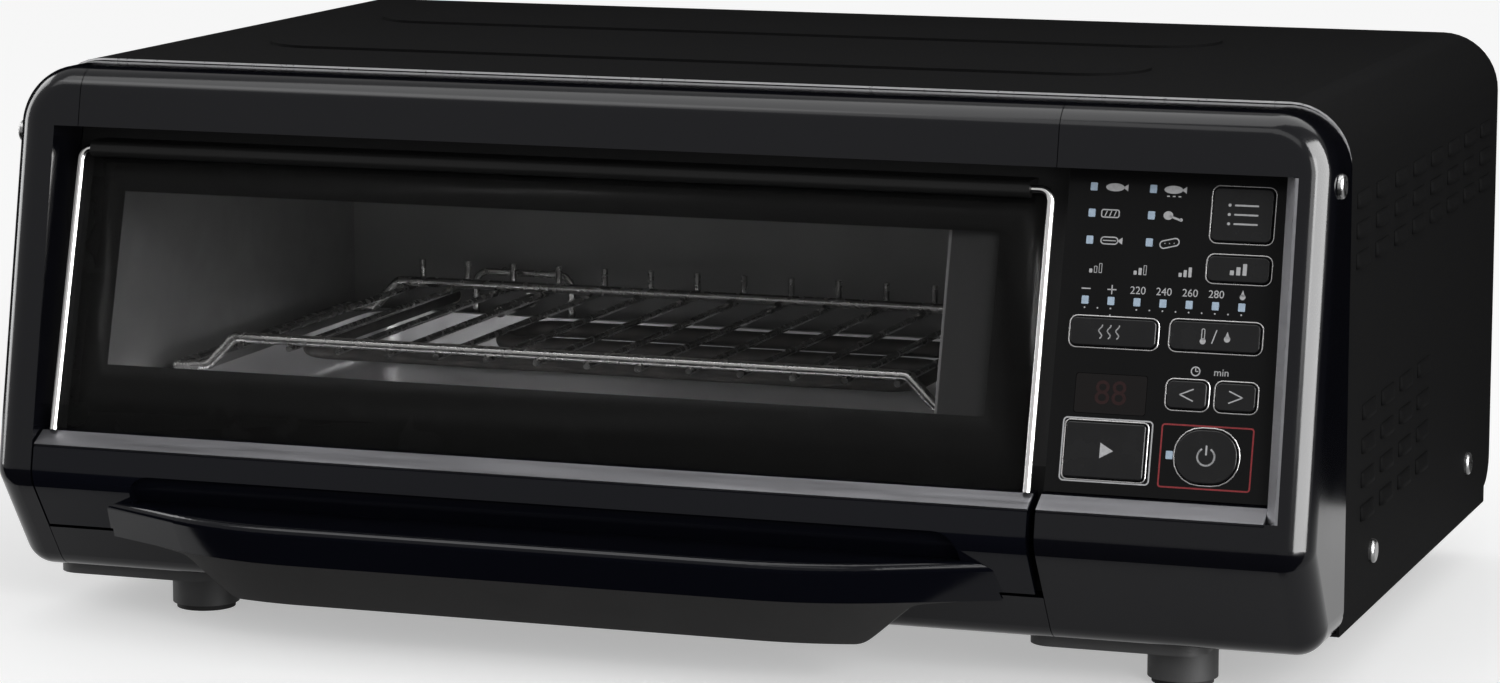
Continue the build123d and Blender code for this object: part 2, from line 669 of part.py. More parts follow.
def lamp_places():
    """Middle of every lamp window as (x, z)."""
    places = [(x, z) for z in MENU_LAMPS_Z for x in MENU_LAMPS_X]
    places += [(HEAT_LAMP_FIRST + HEAT_LAMP_PITCH * i, HEAT_LAMPS_Z) for i in range(HEAT_LAMPS)]
    return places + [POWER_LAMP]


def control_plate():
    """Flat black plate in the pocket, pierced for buttons and lamps."""
    slab = panel_pocket(PLATE_THICK * SLOPE, -FIT) - panel_pocket(0, FRAME_WALL)
    slab = slab & block(HOUSING_LEFT + FIT, POCKET_RIGHT - FIT, -NOSE_Y, 0, BEVEL_LOW_Z, RECESS_TOP_Z)
    return slab - panel_openings()


def housing_trim():
    """Bright trim along the pocket's lower bevel and up its right rim."""
    low = bevel_strip(HOUSING_LEFT, POCKET_RIGHT - FIT)
    rim = rim_wedge(STRIP_THICK - TRIM_FIT) - rim_wedge(0)
    rim = rim & block(POCKET_RIGHT, HALF_W, -2 * NOSE_Y, 0, BEVEL_LOW_Z, RECESS_TOP_Z - FIT)
    return low + (rim & front_envelope(0))


def button(x, z, width, height, radius):
    """Key cap with a flange behind the housing wall and a stem towards its switch."""
    cap = panel_block(x, z, width, height, -BUTTON_RISE, FLANGE_DEPTH, radius)
    front = [e for e in cap.edges() if abs(PANEL.to_local_coords(e.center()).Z - BUTTON_RISE) < 0.01]
    cap = fillet(front, BUTTON_EDGE)
    wide = 2 * BUTTON_FLANGE
    end = FLANGE_DEPTH + BUTTON_FLANGE_THICK
    flange = panel_block(x, z, width + wide, height + wide, FLANGE_DEPTH, end, radius + BUTTON_FLANGE)
    return cap + flange + panel_rod(x, z, BUTTON_STEM_R, end, STEM_DEPTH)


def tact_switches():
    """One small switch under each key."""
    switches = []
    for name, x, z, width, height, radius in BUTTONS:
        body = panel_block(x, z, SWITCH_SIDE, SWITCH_SIDE, BOARD_DEPTH - SWITCH_BODY, BOARD_DEPTH)
        switches.append(body + panel_rod(x, z, SWITCH_TIP_R, SWITCH_TOP, BOARD_DEPTH - SWITCH_BODY))
    return Compound(switches)


def indicator_lenses():
    """Light pipes that end a little proud of the plate."""
    lamps = [panel_block(x, z, LAMP_W, LAMP_H, -LAMP_RISE, BOARD_DEPTH) for x, z in lamp_places()]
    return Compound(lamps)


def timer_display():
    """Dark window block of the timer, which stands on the board."""
    x, z, width, height = WINDOW
    return panel_block(x, z, width, height, 0, BOARD_DEPTH, WINDOW_R)


def control_board():
    """Circuit board behind the control plate."""
    low, high = RECESS_LOW_Z + FIT, RECESS_TOP_Z - FRAME_WALL
    width = POCKET_RIGHT - HOUSING_LEFT - FRAME_WALL - 2 * FIT
    height = (high - low) * SLOPE
    back = BOARD_DEPTH + BOARD_THICK
    board = panel_block(FRAME_WALL / 2, (low + high) / 2, width, height, BOARD_DEPTH, back)
    return board - board_holes()


def board_holes():
    """Screw holes over the posts."""
    radius = BOARD_SCREW_R + FIT
    back = BOARD_DEPTH + BOARD_THICK + OVER
    return Compound([panel_rod(x, z, radius, BOARD_DEPTH - OVER, back) for x, z in BOARD_POSTS])


def board_screws():
    """Screws of the control board, with their heads on its back."""
    screws = []
    for x, z in BOARD_POSTS:
        back = BOARD_DEPTH + BOARD_THICK
        shank = panel_rod(x, z, BOARD_SCREW_R, BACKING_DEPTH + 2 * OVER, back)
        screws.append(shank + panel_rod(x, z, 2 * BOARD_SCREW_R, back, back + BOARD_SCREW_R))
    return Compound(screws)


# ---- drawer front ----
def behind(depth, z):
    """Point of a side view, at a depth square to the recess plane."""
    return (recess_y(z) + depth * SLOPE, z)


def handle_form():
    """Slanted bar of the whole handle, from the ledge down to the grip's lower edge."""
    run = HANDLE_SHOULDER
    outline = [
        (HANDLE_LEFT, HANDLE_ROOT_Y),
        (HANDLE_LEFT + run, -HANDLE_REACH),
        (HANDLE_RIGHT - run, -HANDLE_REACH),
        (HANDLE_RIGHT, HANDLE_ROOT_Y),
    ]
    face = make_face(Polyline(*outline, close=True))
    face = fillet([v for v in face.vertices() if v.Y < HANDLE_ROOT_Y - 1], HANDLE_SHOULDER_R)
    drop = HANDLE_TOP - HANDLE_LOW
    return Pos(0, 0, HANDLE_TOP) * extrude(face, amount=2 * drop, dir=(0, HANDLE_LEAN, -1))


def z_slice(low, high):
    """Flat layer that is wider than the body."""
    return block(-BODY_W, BODY_W, -BODY_W, BODY_W, low, high)


def handle_ledge():
    """Glossy upper part of the handle, hollow from below."""
    solid = handle_form() & z_slice(HANDLE_SPLIT, HANDLE_TOP)
    top_edges = solid.edges().group_by(Axis.Z)[-1]
    solid = fillet([e for e in top_edges if e.center().Y < HANDLE_ROOT_Y - 0.1], HANDLE_EDGE_R)
    hollow = Pos(0, HANDLE_WALL, 0) * handle_form()
    return solid - (hollow & z_slice(0, HANDLE_TOP - HANDLE_TOP_THICK))


def scoop(grow):
    """Finger scoop over the ledge, or the same space with a wall round it."""
    left, right = HANDLE_LEFT + SCOOP_SIDE - grow, HANDLE_RIGHT - SCOOP_SIDE + grow
    low, high = HANDLE_TOP - grow, SCOOP_TOP + grow
    face = Pos((left + right) / 2, (low + high) / 2) * Rectangle(right - left, high - low)
    face = fillet([v for v in face.vertices() if v.Y > high - 0.1], SCOOP_R)
    space = xz_prism(face, -2 * NOSE_Y, DOOR_BACK)
    return space - Pos(0, SCOOP_DEPTH + grow, 0) * front_envelope(0, NOSE_Y)


def door_lower_panel():
    """Glossy moulded front of the drawer, with the handle's ledge."""
    wall = FRAME_WALL
    front = -2 * NOSE_Y
    outer = block(DOOR_LEFT, DOOR_RIGHT, front, DOOR_BACK, DOOR_LOW, BEVEL_TOP_Z)
    low, high = DOOR_LOW + wall, BEVEL_TOP_Z - wall
    inner = block(DOOR_LEFT + wall, DOOR_RIGHT - wall, front, DOOR_BACK + OVER, low, high)
    inner = inner - bevel_cut(DOOR_LEFT, DOOR_RIGHT, STRIP_THICK + wall) - scoop(wall)
    panel = frame_shell(outer, inner) - scoop(0)
    panel = panel - bevel_cut(DOOR_LEFT - OVER, DOOR_RIGHT + OVER, STRIP_THICK)
    hole_r = SCREW_R + SCREW_GAP
    for x in CARRIER_SCREWS_X:
        panel = panel + cylinder((x, DOOR_BACK, CARRIER_SCREWS_Z), (0, -1, 0), 2 * SCREW_R, BOSS_LONG)
        panel = panel - cylinder((x, DOOR_BACK, CARRIER_SCREWS_Z), (0, -1, 0), hole_r, BOSS_LONG - OVER)
    lip_space = Pos(0, -2 * FIT, 0) * front_envelope(0, NOSE_Y)
    ledge = handle_ledge() - (lip_space & z_slice(0, DOOR_LOW))
    return panel + (ledge & block(DOOR_LEFT, DOOR_RIGHT, front, DOOR_BACK, HANDLE_LOW, HANDLE_TOP))


def handle_grip():
    """Dark grey lower part of the handle that the fingers pull from behind."""
    left, right = GRIP_LEFT, GRIP_RIGHT
    low, high = HANDLE_LOW, HANDLE_SPLIT - GRIP_FLARE_DROP
    outline = [
        (left, low),
        (right, low),
        (right + GRIP_END_RUN, high),
        (right + GRIP_END_RUN + GRIP_FLARE, HANDLE_SPLIT),
        (left - GRIP_END_RUN - GRIP_FLARE, HANDLE_SPLIT),
        (left - GRIP_END_RUN, high),
    ]
    face = make_face(Polyline(*outline, close=True))
    face = fillet([v for v in face.vertices() if v.Y < HANDLE_SPLIT - 0.1], GRIP_END_R)
    wall = handle_form() - Pos(0, HANDLE_WALL, 0) * handle_form()
    return wall & xz_prism(face, -2 * NOSE_Y, DOOR_BACK)


def door_trim_strip():
    """Bright strip between the glass and the drawer's glossy panel."""
    return bevel_strip(DOOR_LEFT, DOOR_RIGHT)


def door_glass():
    """Glass of the drawer front."""
    low, high = BEVEL_TOP_Z + FIT, GLASS_TOP
    outline = [behind(0, low), behind(0, high), behind(GLASS_THICK, high), behind(GLASS_THICK, low)]
    return yz_prism(outline, DOOR_LEFT + GLASS_SIDE_GAP, DOOR_RIGHT - GLASS_SIDE_GAP_R)


def wire_line():
    """Middle line of the glass wire: up the left side, through the cap and down the right side."""
    depth = -GLASS_WIRE_R - CAP_BORE_GAP - 2 * FIT
    top = (CAP_TOP + CAP_LIP_LOW) / 2
    left = DOOR_LEFT + GLASS_SIDE_GAP - GLASS_WIRE_R - FIT
    right = DOOR_RIGHT - GLASS_SIDE_GAP_R + GLASS_WIRE_R + FIT
    low = behind(depth, BEVEL_TOP_Z + FIT)
    high = behind(depth, top)
    return [(left, *low), (left, *high), (right, *high), (right, *low)]


def glass_wire():
    """Chrome wire that holds the glass."""
    return wire(wire_line(), GLASS_WIRE_R, GLASS_WIRE_BEND) & z_slice(BEVEL_TOP_Z + FIT / 2, COVER_TOP)


def glass_cap():
    """Dark bar over the glass's upper edge: a round lip in front and a thin leg behind."""
    slot = -FIT
    leg = GLASS_THICK + FIT
    outline = [
        behind(-CAP_LIP, CAP_LIP_LOW),
        behind(-CAP_LIP, CAP_TOP),
        behind(leg + CAP_LEG, CAP_TOP),
        behind(leg + CAP_LEG, CAP_LEG_LOW),
        behind(leg, CAP_LEG_LOW),
        behind(leg, GLASS_TOP + FIT),
        behind(slot, GLASS_TOP + FIT),
        behind(slot, CAP_LIP_LOW),
    ]
    cap = yz_prism(outline, CAP_LEFT, CAP_RIGHT)
    lip_y = recess_y(CAP_TOP) - CAP_LIP / 2
    cap = fillet([e for e in cap.edges().filter_by(Axis.X) if e.center().Y < lip_y], CAP_LIP / 2 - FIT)
    line = wire_line()
    start = (CAP_LEFT - OVER, line[1][1], line[1][2])
    return cap - cylinder(start, (1, 0, 0), GLASS_WIRE_R + CAP_BORE_GAP, CAP_RIGHT - CAP_LEFT + 2 * OVER)


# ---- drawer inside ----
def mirrored(solid):
    """The solid with its mirror image in the cavity's middle plane."""
    return [solid, mirror(solid, about=Plane.YZ.offset(CAVITY_MID))]


def tray_carrier():
    """Sheet frame behind the drawer front that carries the tray."""
    low = RAIL_Z + SHEET + RUN_GAP
    left = CAVITY_LEFT + ARM_INSET
    right = CAVITY_RIGHT - ARM_INSET
    top = TRAY_RIM - TRAY_WALL
    frame = block(left, right, DOOR_BACK, DOOR_BACK + ARM_THICK, low, RECESS_LOW_Z - FRAME_WALL)
    hole_r = SCREW_R + SCREW_GAP
    for x in CARRIER_SCREWS_X:
        frame = frame - cylinder((x, DOOR_BACK - OVER, CARRIER_SCREWS_Z), (0, 1, 0), hole_r, 2 * ARM_THICK)
    root = block(left, left + ARM_THICK, DOOR_BACK, ARM_BACK, low, RECESS_LOW_Z - FRAME_WALL)
    for arm in mirrored(root + block(left, left + ARM_THICK, MOUTH_Y, ARM_BACK, low, top)):
        frame = frame + arm
    for y in (CROSS_BAR_Y, CAVITY_BACK - CROSS_BAR_END):
        half = CROSS_BAR_W / 2
        frame = frame + block(left, right, y - half, y + half, TRAY_LOW - ARM_THICK, TRAY_LOW)
    return frame


def drawer_slides():
    """Angle strips on the outsides of the carrier's arms that run in the rails."""
    arm = CAVITY_LEFT + ARM_INSET
    low = RAIL_Z + SHEET + RUN_GAP
    foot = block(arm - SLIDE_W, arm, RAIL_FRONT, ARM_BACK, low, low + ARM_THICK)
    leg = block(arm - ARM_THICK, arm, RAIL_FRONT, ARM_BACK, low, low + 2 * SLIDE_W)
    return Compound(mirrored(foot + leg))


def drawer_rail(side):
    """Channel on one wall of the cavity."""
    left = CAVITY_LEFT
    top = RAIL_Z + SHEET + RAIL_OPEN
    rail = block(left, left + RAIL_SHELF, RAIL_FRONT, RAIL_BACK, RAIL_Z, top + SHEET)
    lip = RAIL_SHELF - ARM_THICK
    rail = rail - block(left + SHEET, left + RAIL_SHELF + OVER, -BODY_W, BODY_W, RAIL_Z + SHEET, top)
    rail = rail - block(left + lip, left + RAIL_SHELF + OVER, -BODY_W, BODY_W, top - OVER, top + SHEET + OVER)
    return mirrored(rail)[side]


def drip_tray():
    """Deep drawn tray whose flange hangs on the carrier's arms."""
    left, right = CAVITY_LEFT + TRAY_INSET, CAVITY_RIGHT - TRAY_INSET
    width, depth = right - left, TRAY_BACK - TRAY_FRONT
    mid_y = (TRAY_FRONT + TRAY_BACK) / 2
    outer = Pos(CAVITY_MID, mid_y, TRAY_LOW) * extrude(
        RectangleRounded(width, depth, TRAY_CORNER_R), amount=TRAY_RIM - TRAY_LOW
    )
    outer = fillet(outer.edges().group_by(Axis.Z)[0], TRAY_FLOOR_R)
    wall = 2 * TRAY_WALL
    inner = Pos(CAVITY_MID, mid_y, TRAY_LOW + TRAY_WALL) * extrude(
        RectangleRounded(width - wall, depth - wall, TRAY_CORNER_R - TRAY_WALL), amount=TRAY_RIM - TRAY_LOW
    )
    inner = fillet(inner.edges().group_by(Axis.Z)[0], TRAY_FLOOR_R - TRAY_WALL)
    flange = RectangleRounded(width + 2 * TRAY_FLANGE, depth + 2 * NET_BAR_R, TRAY_CORNER_R)
    rim = Pos(CAVITY_MID, mid_y, TRAY_RIM - TRAY_WALL) * extrude(flange, amount=TRAY_WALL)
    return outer + rim - inner


def carrier_screws():
    """Screws that hold the carrier's front plate to the glossy panel."""
    screws = []
    back = DOOR_BACK + ARM_THICK
    for x in CARRIER_SCREWS_X:
        head = cylinder((x, back, CARRIER_SCREWS_Z), (0, 1, 0), SCREW_HEAD_R, SCREW_HEAD / 2)
        screws.append(head + cylinder((x, back, CARRIER_SCREWS_Z), (0, -1, 0), SCREW_R, SCREW_LONG))
    return Compound(screws)


# ---- net ----
def grill_net():
    """Roasting net: cross bars over wires that run back and turn up at the rear."""
    mid = CAVITY_MID
    rail_z = NET_RAIL_Z + FIT
    shoulder = NET_FIRST_X - NET_BAR_R - NET_WIRE_R
    far_shoulder = NET_FIRST_X + NET_PITCH * (NET_WIRES - 1) + NET_BAR_R + NET_WIRE_R
    left, right = mid - NET_SIDE, mid + NET_SIDE
    pieces = []
    for y in (NET_FRONT, NET_REAR_BAR_Y):
        bar = [
            (left, y, rail_z),
            (shoulder - NET_SHOULDER, y, rail_z + OVER),
            (shoulder, y, NET_BAR_Z),
            (far_shoulder, y, NET_BAR_Z),
            (far_shoulder + NET_SHOULDER, y, rail_z + OVER),
            (right, y, rail_z),
        ]
        pieces.append(wire(bar, NET_BAR_R, NET_BAR_R * 2))
    for x in (left, right):
        pieces.append(cylinder((x, NET_FRONT, rail_z), (0, 1, 0), NET_BAR_R, NET_REAR_BAR_Y - NET_FRONT))
        pieces.append(Pos(x, NET_FRONT, rail_z) * Sphere(NET_BAR_R))
        pieces.append(Pos(x, NET_REAR_BAR_Y, rail_z) * Sphere(NET_BAR_R))
    for i in range(NET_WIRES):
        x = NET_FIRST_X + NET_PITCH * i
        line = [(x, NET_FRONT - NET_BAR_R, NET_Z), (x, NET_BACK, NET_Z), (x, NET_BACK, NET_Z + NET_TURN_UP)]
        pieces.append(wire(line, NET_WIRE_R, 2 * NET_WIRE_R))
    net = pieces[0]
    return net.fuse(*pieces[1:])


# ---- roasting cavity ----
def cavity_liner():
    """Folded sheet over the sides, top and back of the roasting cavity."""
    wall = CAVITY_SHEET
    front = -2 * NOSE_Y
    low = CAVITY_LOW - wall
    liner = block(CAVITY_LEFT - wall, CAVITY_RIGHT + wall, front, CAVITY_BACK + wall, low, CAVITY_TOP + wall)
    liner = liner - block(CAVITY_LEFT, CAVITY_RIGHT, front - OVER, CAVITY_BACK, low - OVER, CAVITY_TOP)
    back = COVER_DEPTH
    line = mouth_line(SHEET)
    liner = liner & yz_prism(line + [(back, line[-1][1]), (back, DOOR_LOW)], -HALF_W, HALF_W)
    for y in UPPER_HEATERS_Y:
        radius = UPPER_HEATER_R + UPPER_HOLE_GAP
        liner = liner - cylinder((-HALF_W, y, UPPER_HEATER_Z), (1, 0, 0), radius, BODY_W)
    gap = 2 * FIT
    deep = wall + 2 * OVER
    for x in (LOWER_LEFT, LOWER_RIGHT):
        start = (x, CAVITY_BACK - OVER, LOWER_HEATER_Z)
        liner = liner - cylinder(start, (0, 1, 0), LOWER_HEATER_R + gap, deep)
    liner = liner - cylinder((SENSOR_X, CAVITY_BACK - OVER, SENSOR_Z), (0, 1, 0), SENSOR_R + gap, deep)
    half_w, half_h = OUTLET_W / 2 - OUTLET_EDGE, OUTLET_H / 2 - OUTLET_EDGE
    low, high = OUTLET_Z - half_h, OUTLET_Z + half_h
    y_from, y_to = CAVITY_BACK - OVER, CAVITY_BACK + wall + OVER
    return liner - block(OUTLET_X - half_w, OUTLET_X + half_w, y_from, y_to, low, high)


def cavity_floor():
    """Heat shield under the drip tray."""
    low = CAVITY_LOW - CAVITY_SHEET
    return block(CAVITY_LEFT + FIT, CAVITY_RIGHT - FIT, MOUTH_Y, CAVITY_BACK - FIT, low, CAVITY_LOW)


def cavity_supports():
    """Two channels that carry the cavity on the bottom plate."""
    low, high = BASE_LOW + SHEET, CAVITY_LOW - CAVITY_SHEET
    left = CAVITY_LEFT + SUPPORT_W
    outer = block(left, left + SUPPORT_W, FIT * 2, CAVITY_BACK, low, high)
    inner = block(left + SHEET, left + SUPPORT_W - SHEET, -OVER, CAVITY_BACK + OVER, low - OVER, high - SHEET)
    return Compound(mirrored(outer - inner))


def upper_heaters():
    """Two straight tube heaters under the cavity's top."""
    left = CAVITY_LEFT - CAVITY_SHEET - UPPER_STICK_OUT
    right = CAVITY_RIGHT + CAVITY_SHEET + UPPER_STICK_OUT
    long = right - left
    bars = [cylinder((left, y, UPPER_HEATER_Z), (1, 0, 0), UPPER_HEATER_R, long) for y in UPPER_HEATERS_Y]
    return Compound(bars)


def heater_holders():
    """Ceramic blocks outside the cavity that hold the ends of the upper heaters."""
    blocks = []
    half = HOLDER_SIDE / 2
    for y in UPPER_HEATERS_Y:
        right = CAVITY_LEFT - CAVITY_SHEET
        low, high = UPPER_HEATER_Z - half, UPPER_HEATER_Z + half
        holder = block(right - HOLDER_THICK, right, y - half, y + half, low, high)
        start = (right - HOLDER_THICK - OVER, y, UPPER_HEATER_Z)
        holder = holder - cylinder(start, (1, 0, 0), UPPER_HEATER_R + TERMINAL_GAP, HOLDER_THICK + 2 * OVER)
        blocks += mirrored(holder)
    return Compound(blocks)


def heat_reflector():
    """Bright folded sheet over the upper heaters, fixed to the cavity's top along its crests."""
    low, high = CAVITY_TOP - REFLECTOR_DROP, CAVITY_TOP
    first, last = UPPER_HEATERS_Y
    half, run = REFLECTOR_HALF, REFLECTOR_DROP
    top = [
        (first - half - run, low),
        (first - half, high),
        (first + half, high),
        ((first + last) / 2, low),
        (last - half, high),
        (last + half, high),
        (last + half + run, low),
    ]
    under = [(y, z - REFLECTOR_UNDER) for y, z in top]
    return yz_prism(top + under[::-1], CAVITY_LEFT + SHEET, CAVITY_RIGHT - SHEET)


def lower_heater():
    """Bent sheathed heater between the net and the drip tray, with both ends in the rear wall."""
    z = LOWER_HEATER_Z
    end = CAVITY_BACK + CAVITY_SHEET + TERMINAL_LONG + LOWER_HEATER_R
    first, second, third = LOWER_RUNS_Y
    line = [
        (LOWER_LEFT, end, z),
        (LOWER_LEFT, first, z),
        (LOWER_RIGHT, first, z),
        (LOWER_RIGHT, second, z),
        (LOWER_TURN_LEFT, second, z),
        (LOWER_TURN_LEFT, third, z),
        (LOWER_RIGHT, third, z),
        (LOWER_RIGHT, end, z),
    ]
    return wire(line, LOWER_HEATER_R, LOWER_BEND)


def heater_terminals():
    """Ceramic collars on the lower heater's ends, behind the rear wall."""
    collars = []
    for x in (LOWER_LEFT, LOWER_RIGHT):
        start = (x, CAVITY_BACK + CAVITY_SHEET, LOWER_HEATER_Z)
        collar = cylinder(start, (0, 1, 0), TERMINAL_R, TERMINAL_LONG)
        collars.append(collar - cylinder(start, (0, 1, 0), LOWER_HEATER_R + TERMINAL_GAP, TERMINAL_LONG))
    return Compound(collars)


def temperature_sensor():
    """Rod sensor through the rear wall with its nut behind."""
    tip = CAVITY_BACK - SENSOR_REACH
    back = CAVITY_BACK + CAVITY_SHEET
    rod = cylinder((SENSOR_X, tip, SENSOR_Z), (0, 1, 0), SENSOR_R, SENSOR_REACH + SENSOR_NUT)
    rod = fillet(rod.edges().sort_by(Axis.Y)[0], SENSOR_R / 2)
    nut = xz_prism(Pos(SENSOR_X, SENSOR_Z) * RegularPolygon(SENSOR_NUT / 2, 6), back, back + 2 * SENSOR_R)
    return rod + nut


def sensor_guard():
    """Wire loop that keeps food off the sensor, on two short legs."""
    y = CAVITY_BACK - GUARD_STAND
    outer = RectangleRounded(GUARD_W, GUARD_H, GUARD_BEND)
    inner = RectangleRounded(GUARD_W - 4 * GUARD_R, GUARD_H - 4 * GUARD_R, GUARD_BEND - 2 * GUARD_R)
    loop = xz_prism(Pos(SENSOR_X, SENSOR_Z) * (outer - inner), y - GUARD_R, y + GUARD_R)
    loop = fillet(loop.edges(), GUARD_R - FIT)
    for x in (SENSOR_X - GUARD_W / 4, SENSOR_X + GUARD_W / 4):
        z = SENSOR_Z + GUARD_H / 2 - GUARD_R
        loop = loop + cylinder((x, y, z), (0, 1, 0), GUARD_R - FIT, GUARD_STAND)
    return loop


# ---- smoke outlet ----
def exhaust_duct():
    """Rectangular duct from the cavity's rear wall to the rear panel."""
    half_w, half_h = OUTLET_W / 2, OUTLET_H / 2
    y_from, y_to = CAVITY_BACK + CAVITY_SHEET, COVER_DEPTH - SHEET - FIT
    wall = CAVITY_SHEET
    left, right, low, high = OUTLET_X - half_w, OUTLET_X + half_w, OUTLET_Z - half_h, OUTLET_Z + half_h
    duct = block(left - wall, right + wall, y_from, y_to, low - wall, high + wall)
    return duct - block(left, right, y_from - OVER, y_to + OVER, low, high)


def catalyst_filter():
    """Honeycomb filter block in the duct's mouth."""
    y_from = CAVITY_BACK + CAVITY_SHEET + FIT
    y_to = y_from + FILTER_THICK
    half_w, half_h = OUTLET_W / 2 - FIT, OUTLET_H / 2 - FIT
    filter_block = block(
        OUTLET_X - half_w, OUTLET_X + half_w, y_from, y_to, OUTLET_Z - half_h, OUTLET_Z + half_h
    )
    pitch = FILTER_CELL + FILTER_WEB
    columns, rows = int((2 * half_w - FILTER_WEB) / pitch), int((2 * half_h - FILTER_WEB) / pitch)
    cells = []
    for column in range(columns):
        for row in range(rows):
            x = OUTLET_X + (column - (columns - 1) / 2) * pitch
            z = OUTLET_Z + (row - (rows - 1) / 2) * pitch
            half = FILTER_CELL / 2
            cells.append(block(x - half, x + half, y_from - OVER, y_to + OVER, z - half, z + half))
    return filter_block - cells


def exhaust_fan():
    """Fan wheel: a hub with pitched blades."""
    half = FAN_THICK / 2
    fan = cylinder((OUTLET_X, FAN_Y - half, OUTLET_Z), (0, 1, 0), FAN_HUB_R, FAN_THICK)
    reach = FAN_R - FAN_HUB_R + BLADE_ROOT
    for i in range(FAN_BLADES):
        blade = Pos(FAN_R - reach / 2, 0, 0) * Rot(X=BLADE_PITCH) * Box(reach, SHEET, BLADE_WIDE)
        fan = fan + Pos(OUTLET_X, FAN_Y, OUTLET_Z) * Rot(Y=360 / FAN_BLADES * i) * blade
    start = (OUTLET_X, FAN_Y - FAN_THICK, OUTLET_Z)
    return fan - cylinder(start, (0, 1, 0), SHAFT_R + SHAFT_GAP, 2 * FAN_THICK)


def fan_motor():
    """Small motor behind the fan, with its shaft and four arms to the duct."""
    front = FAN_Y + FAN_THICK / 2 + OVER
    motor = cylinder((OUTLET_X, front, OUTLET_Z), (0, 1, 0), MOTOR_R, MOTOR_LONG)
    back = front + MOTOR_LONG
    y_from = back - MOTOR_ARM_THICK
    for reach_x, reach_z in ((OUTLET_W / 2, MOTOR_ARM / 2), (MOTOR_ARM / 2, OUTLET_H / 2)):
        low, high = OUTLET_Z - reach_z, OUTLET_Z + reach_z
        motor = motor + block(OUTLET_X - reach_x, OUTLET_X + reach_x, y_from, back, low, high)
    return motor + cylinder((OUTLET_X, front, OUTLET_Z), (0, -1, 0), SHAFT_R, FAN_THICK + OVER)


# ---- right compartment and rear ----
def heat_shield():
    """Upright sheet between the hot cavity and the electrics."""
    back = COVER_DEPTH - SHEET - FIT
    high = COVER_TOP - COVER_R / 2
    return block(SHIELD_X, SHIELD_X + SHEET, OVER, back, BASE_LOW + SHEET, high)


def board_corners():
    """Fixing points of the power board as (y, z)."""
    inset = SPACER_R + SPACER_EDGE
    ys = (POWER_BOARD_Y[0] + inset, POWER_BOARD_Y[1] - inset)
    zs = (POWER_BOARD_Z[0] + inset, POWER_BOARD_Z[1] - inset)
    return [(y, z) for y in ys for z in zs]


def board_spacers():
    """Spacers between the heat shield and the power board."""
    start_x = SHIELD_X + SHEET
    long = POWER_BOARD_X - start_x
    return Compound([cylinder((start_x, y, z), (1, 0, 0), SPACER_R, long) for y, z in board_corners()])


def power_board():
    """Circuit board that feeds the heaters."""
    return block(POWER_BOARD_X, POWER_BOARD_X + BOARD_THICK, *POWER_BOARD_Y, *POWER_BOARD_Z)


def power_components():
    """Relays, a transformer, a capacitor and the mains terminals on the power board."""
    face = POWER_BOARD_X + BOARD_THICK
    y, z = POWER_BOARD_Y[0] + PART_EDGE, POWER_BOARD_Z[0] + PART_EDGE
    pieces = []
    for i in range(RELAYS):
        start = y + (RELAY_W + RELAY_GAP) * i
        pieces.append(block(face, face + RELAY_H, start, start + RELAY_W, z, z + RELAY_H))
    low = z + RELAY_H + PART_GAP
    high = low + TRANSFORMER_H
    pieces.append(block(face, face + TRANSFORMER_T, y, y + TRANSFORMER_W, low, high))
    middle = y + TRANSFORMER_W + PART_GAP + CAPACITOR_R
    pieces.append(cylinder((face, middle, (low + high) / 2), (1, 0, 0), CAPACITOR_R, CAPACITOR_T))
    start = middle + CAPACITOR_R + PART_GAP
    pieces.append(block(face, face + TERMINAL_T, start, start + TERMINAL_W, low, high))
    return Compound(pieces)


def cord_gland():
    """Bush in the rear panel where the mains lead would enter."""
    inside = COVER_DEPTH - SHEET
    start = inside - 2 * GLAND_R
    gland = cylinder((GLAND_X, start, GLAND_Z), (0, 1, 0), GLAND_NECK_R, 2 * GLAND_R + SHEET + GLAND_OUT)
    gland = gland + cylinder((GLAND_X, COVER_DEPTH, GLAND_Z), (0, 1, 0), GLAND_FLANGE_R, GLAND_OUT / 2)
    gland = gland + cylinder((GLAND_X, inside, GLAND_Z), (0, -1, 0), GLAND_FLANGE_R, GLAND_OUT / 2)
    return gland - cylinder((GLAND_X, start - OVER, GLAND_Z), (0, 1, 0), GLAND_R, BODY_W / 4)


def wall_spacers():
    """Two blocks that keep the rear panel off the wall."""
    x = HALF_W - WALL_SPACER_SIDE
    long = WALL_SPACER
    low = WALL_SPACER_TOP - long
    spacer = block(x - long / 2, x + long / 2, COVER_DEPTH, REAR_REACH, low, WALL_SPACER_TOP)
    return Compound([spacer, mirror(spacer, about=Plane.YZ)])


def pan_screw(point, outward):
    """Pan head screw: the head lies outside the point, the shank inside."""
    head = cylinder(point, outward, SCREW_HEAD_R, SCREW_HEAD)
    rim = head.edges().sort_by(lambda e: -(e.center() - Vector(*point)).dot(Vector(*outward)))[0]
    head = fillet(rim, SCREW_HEAD_ROUND)
    inward = tuple(-part for part in outward)
    return head + cylinder(point, inward, SCREW_R, SCREW_LONG)


def side_screws():
    """Screws that fasten the cover and the frame's ends, on both sides."""
    screws = []
    for side in (-1, 1):
        screws += [pan_screw((side * HALF_W, y, z), (side, 0, 0)) for y, z in (FRAME_SCREW, *COVER_SCREWS)]
    return Compound(screws)


def rear_screws():
    """Screws of the rear panel."""
    return Compound([pan_screw((x, COVER_DEPTH, z), (0, 1, 0)) for x, z in REAR_SCREWS])


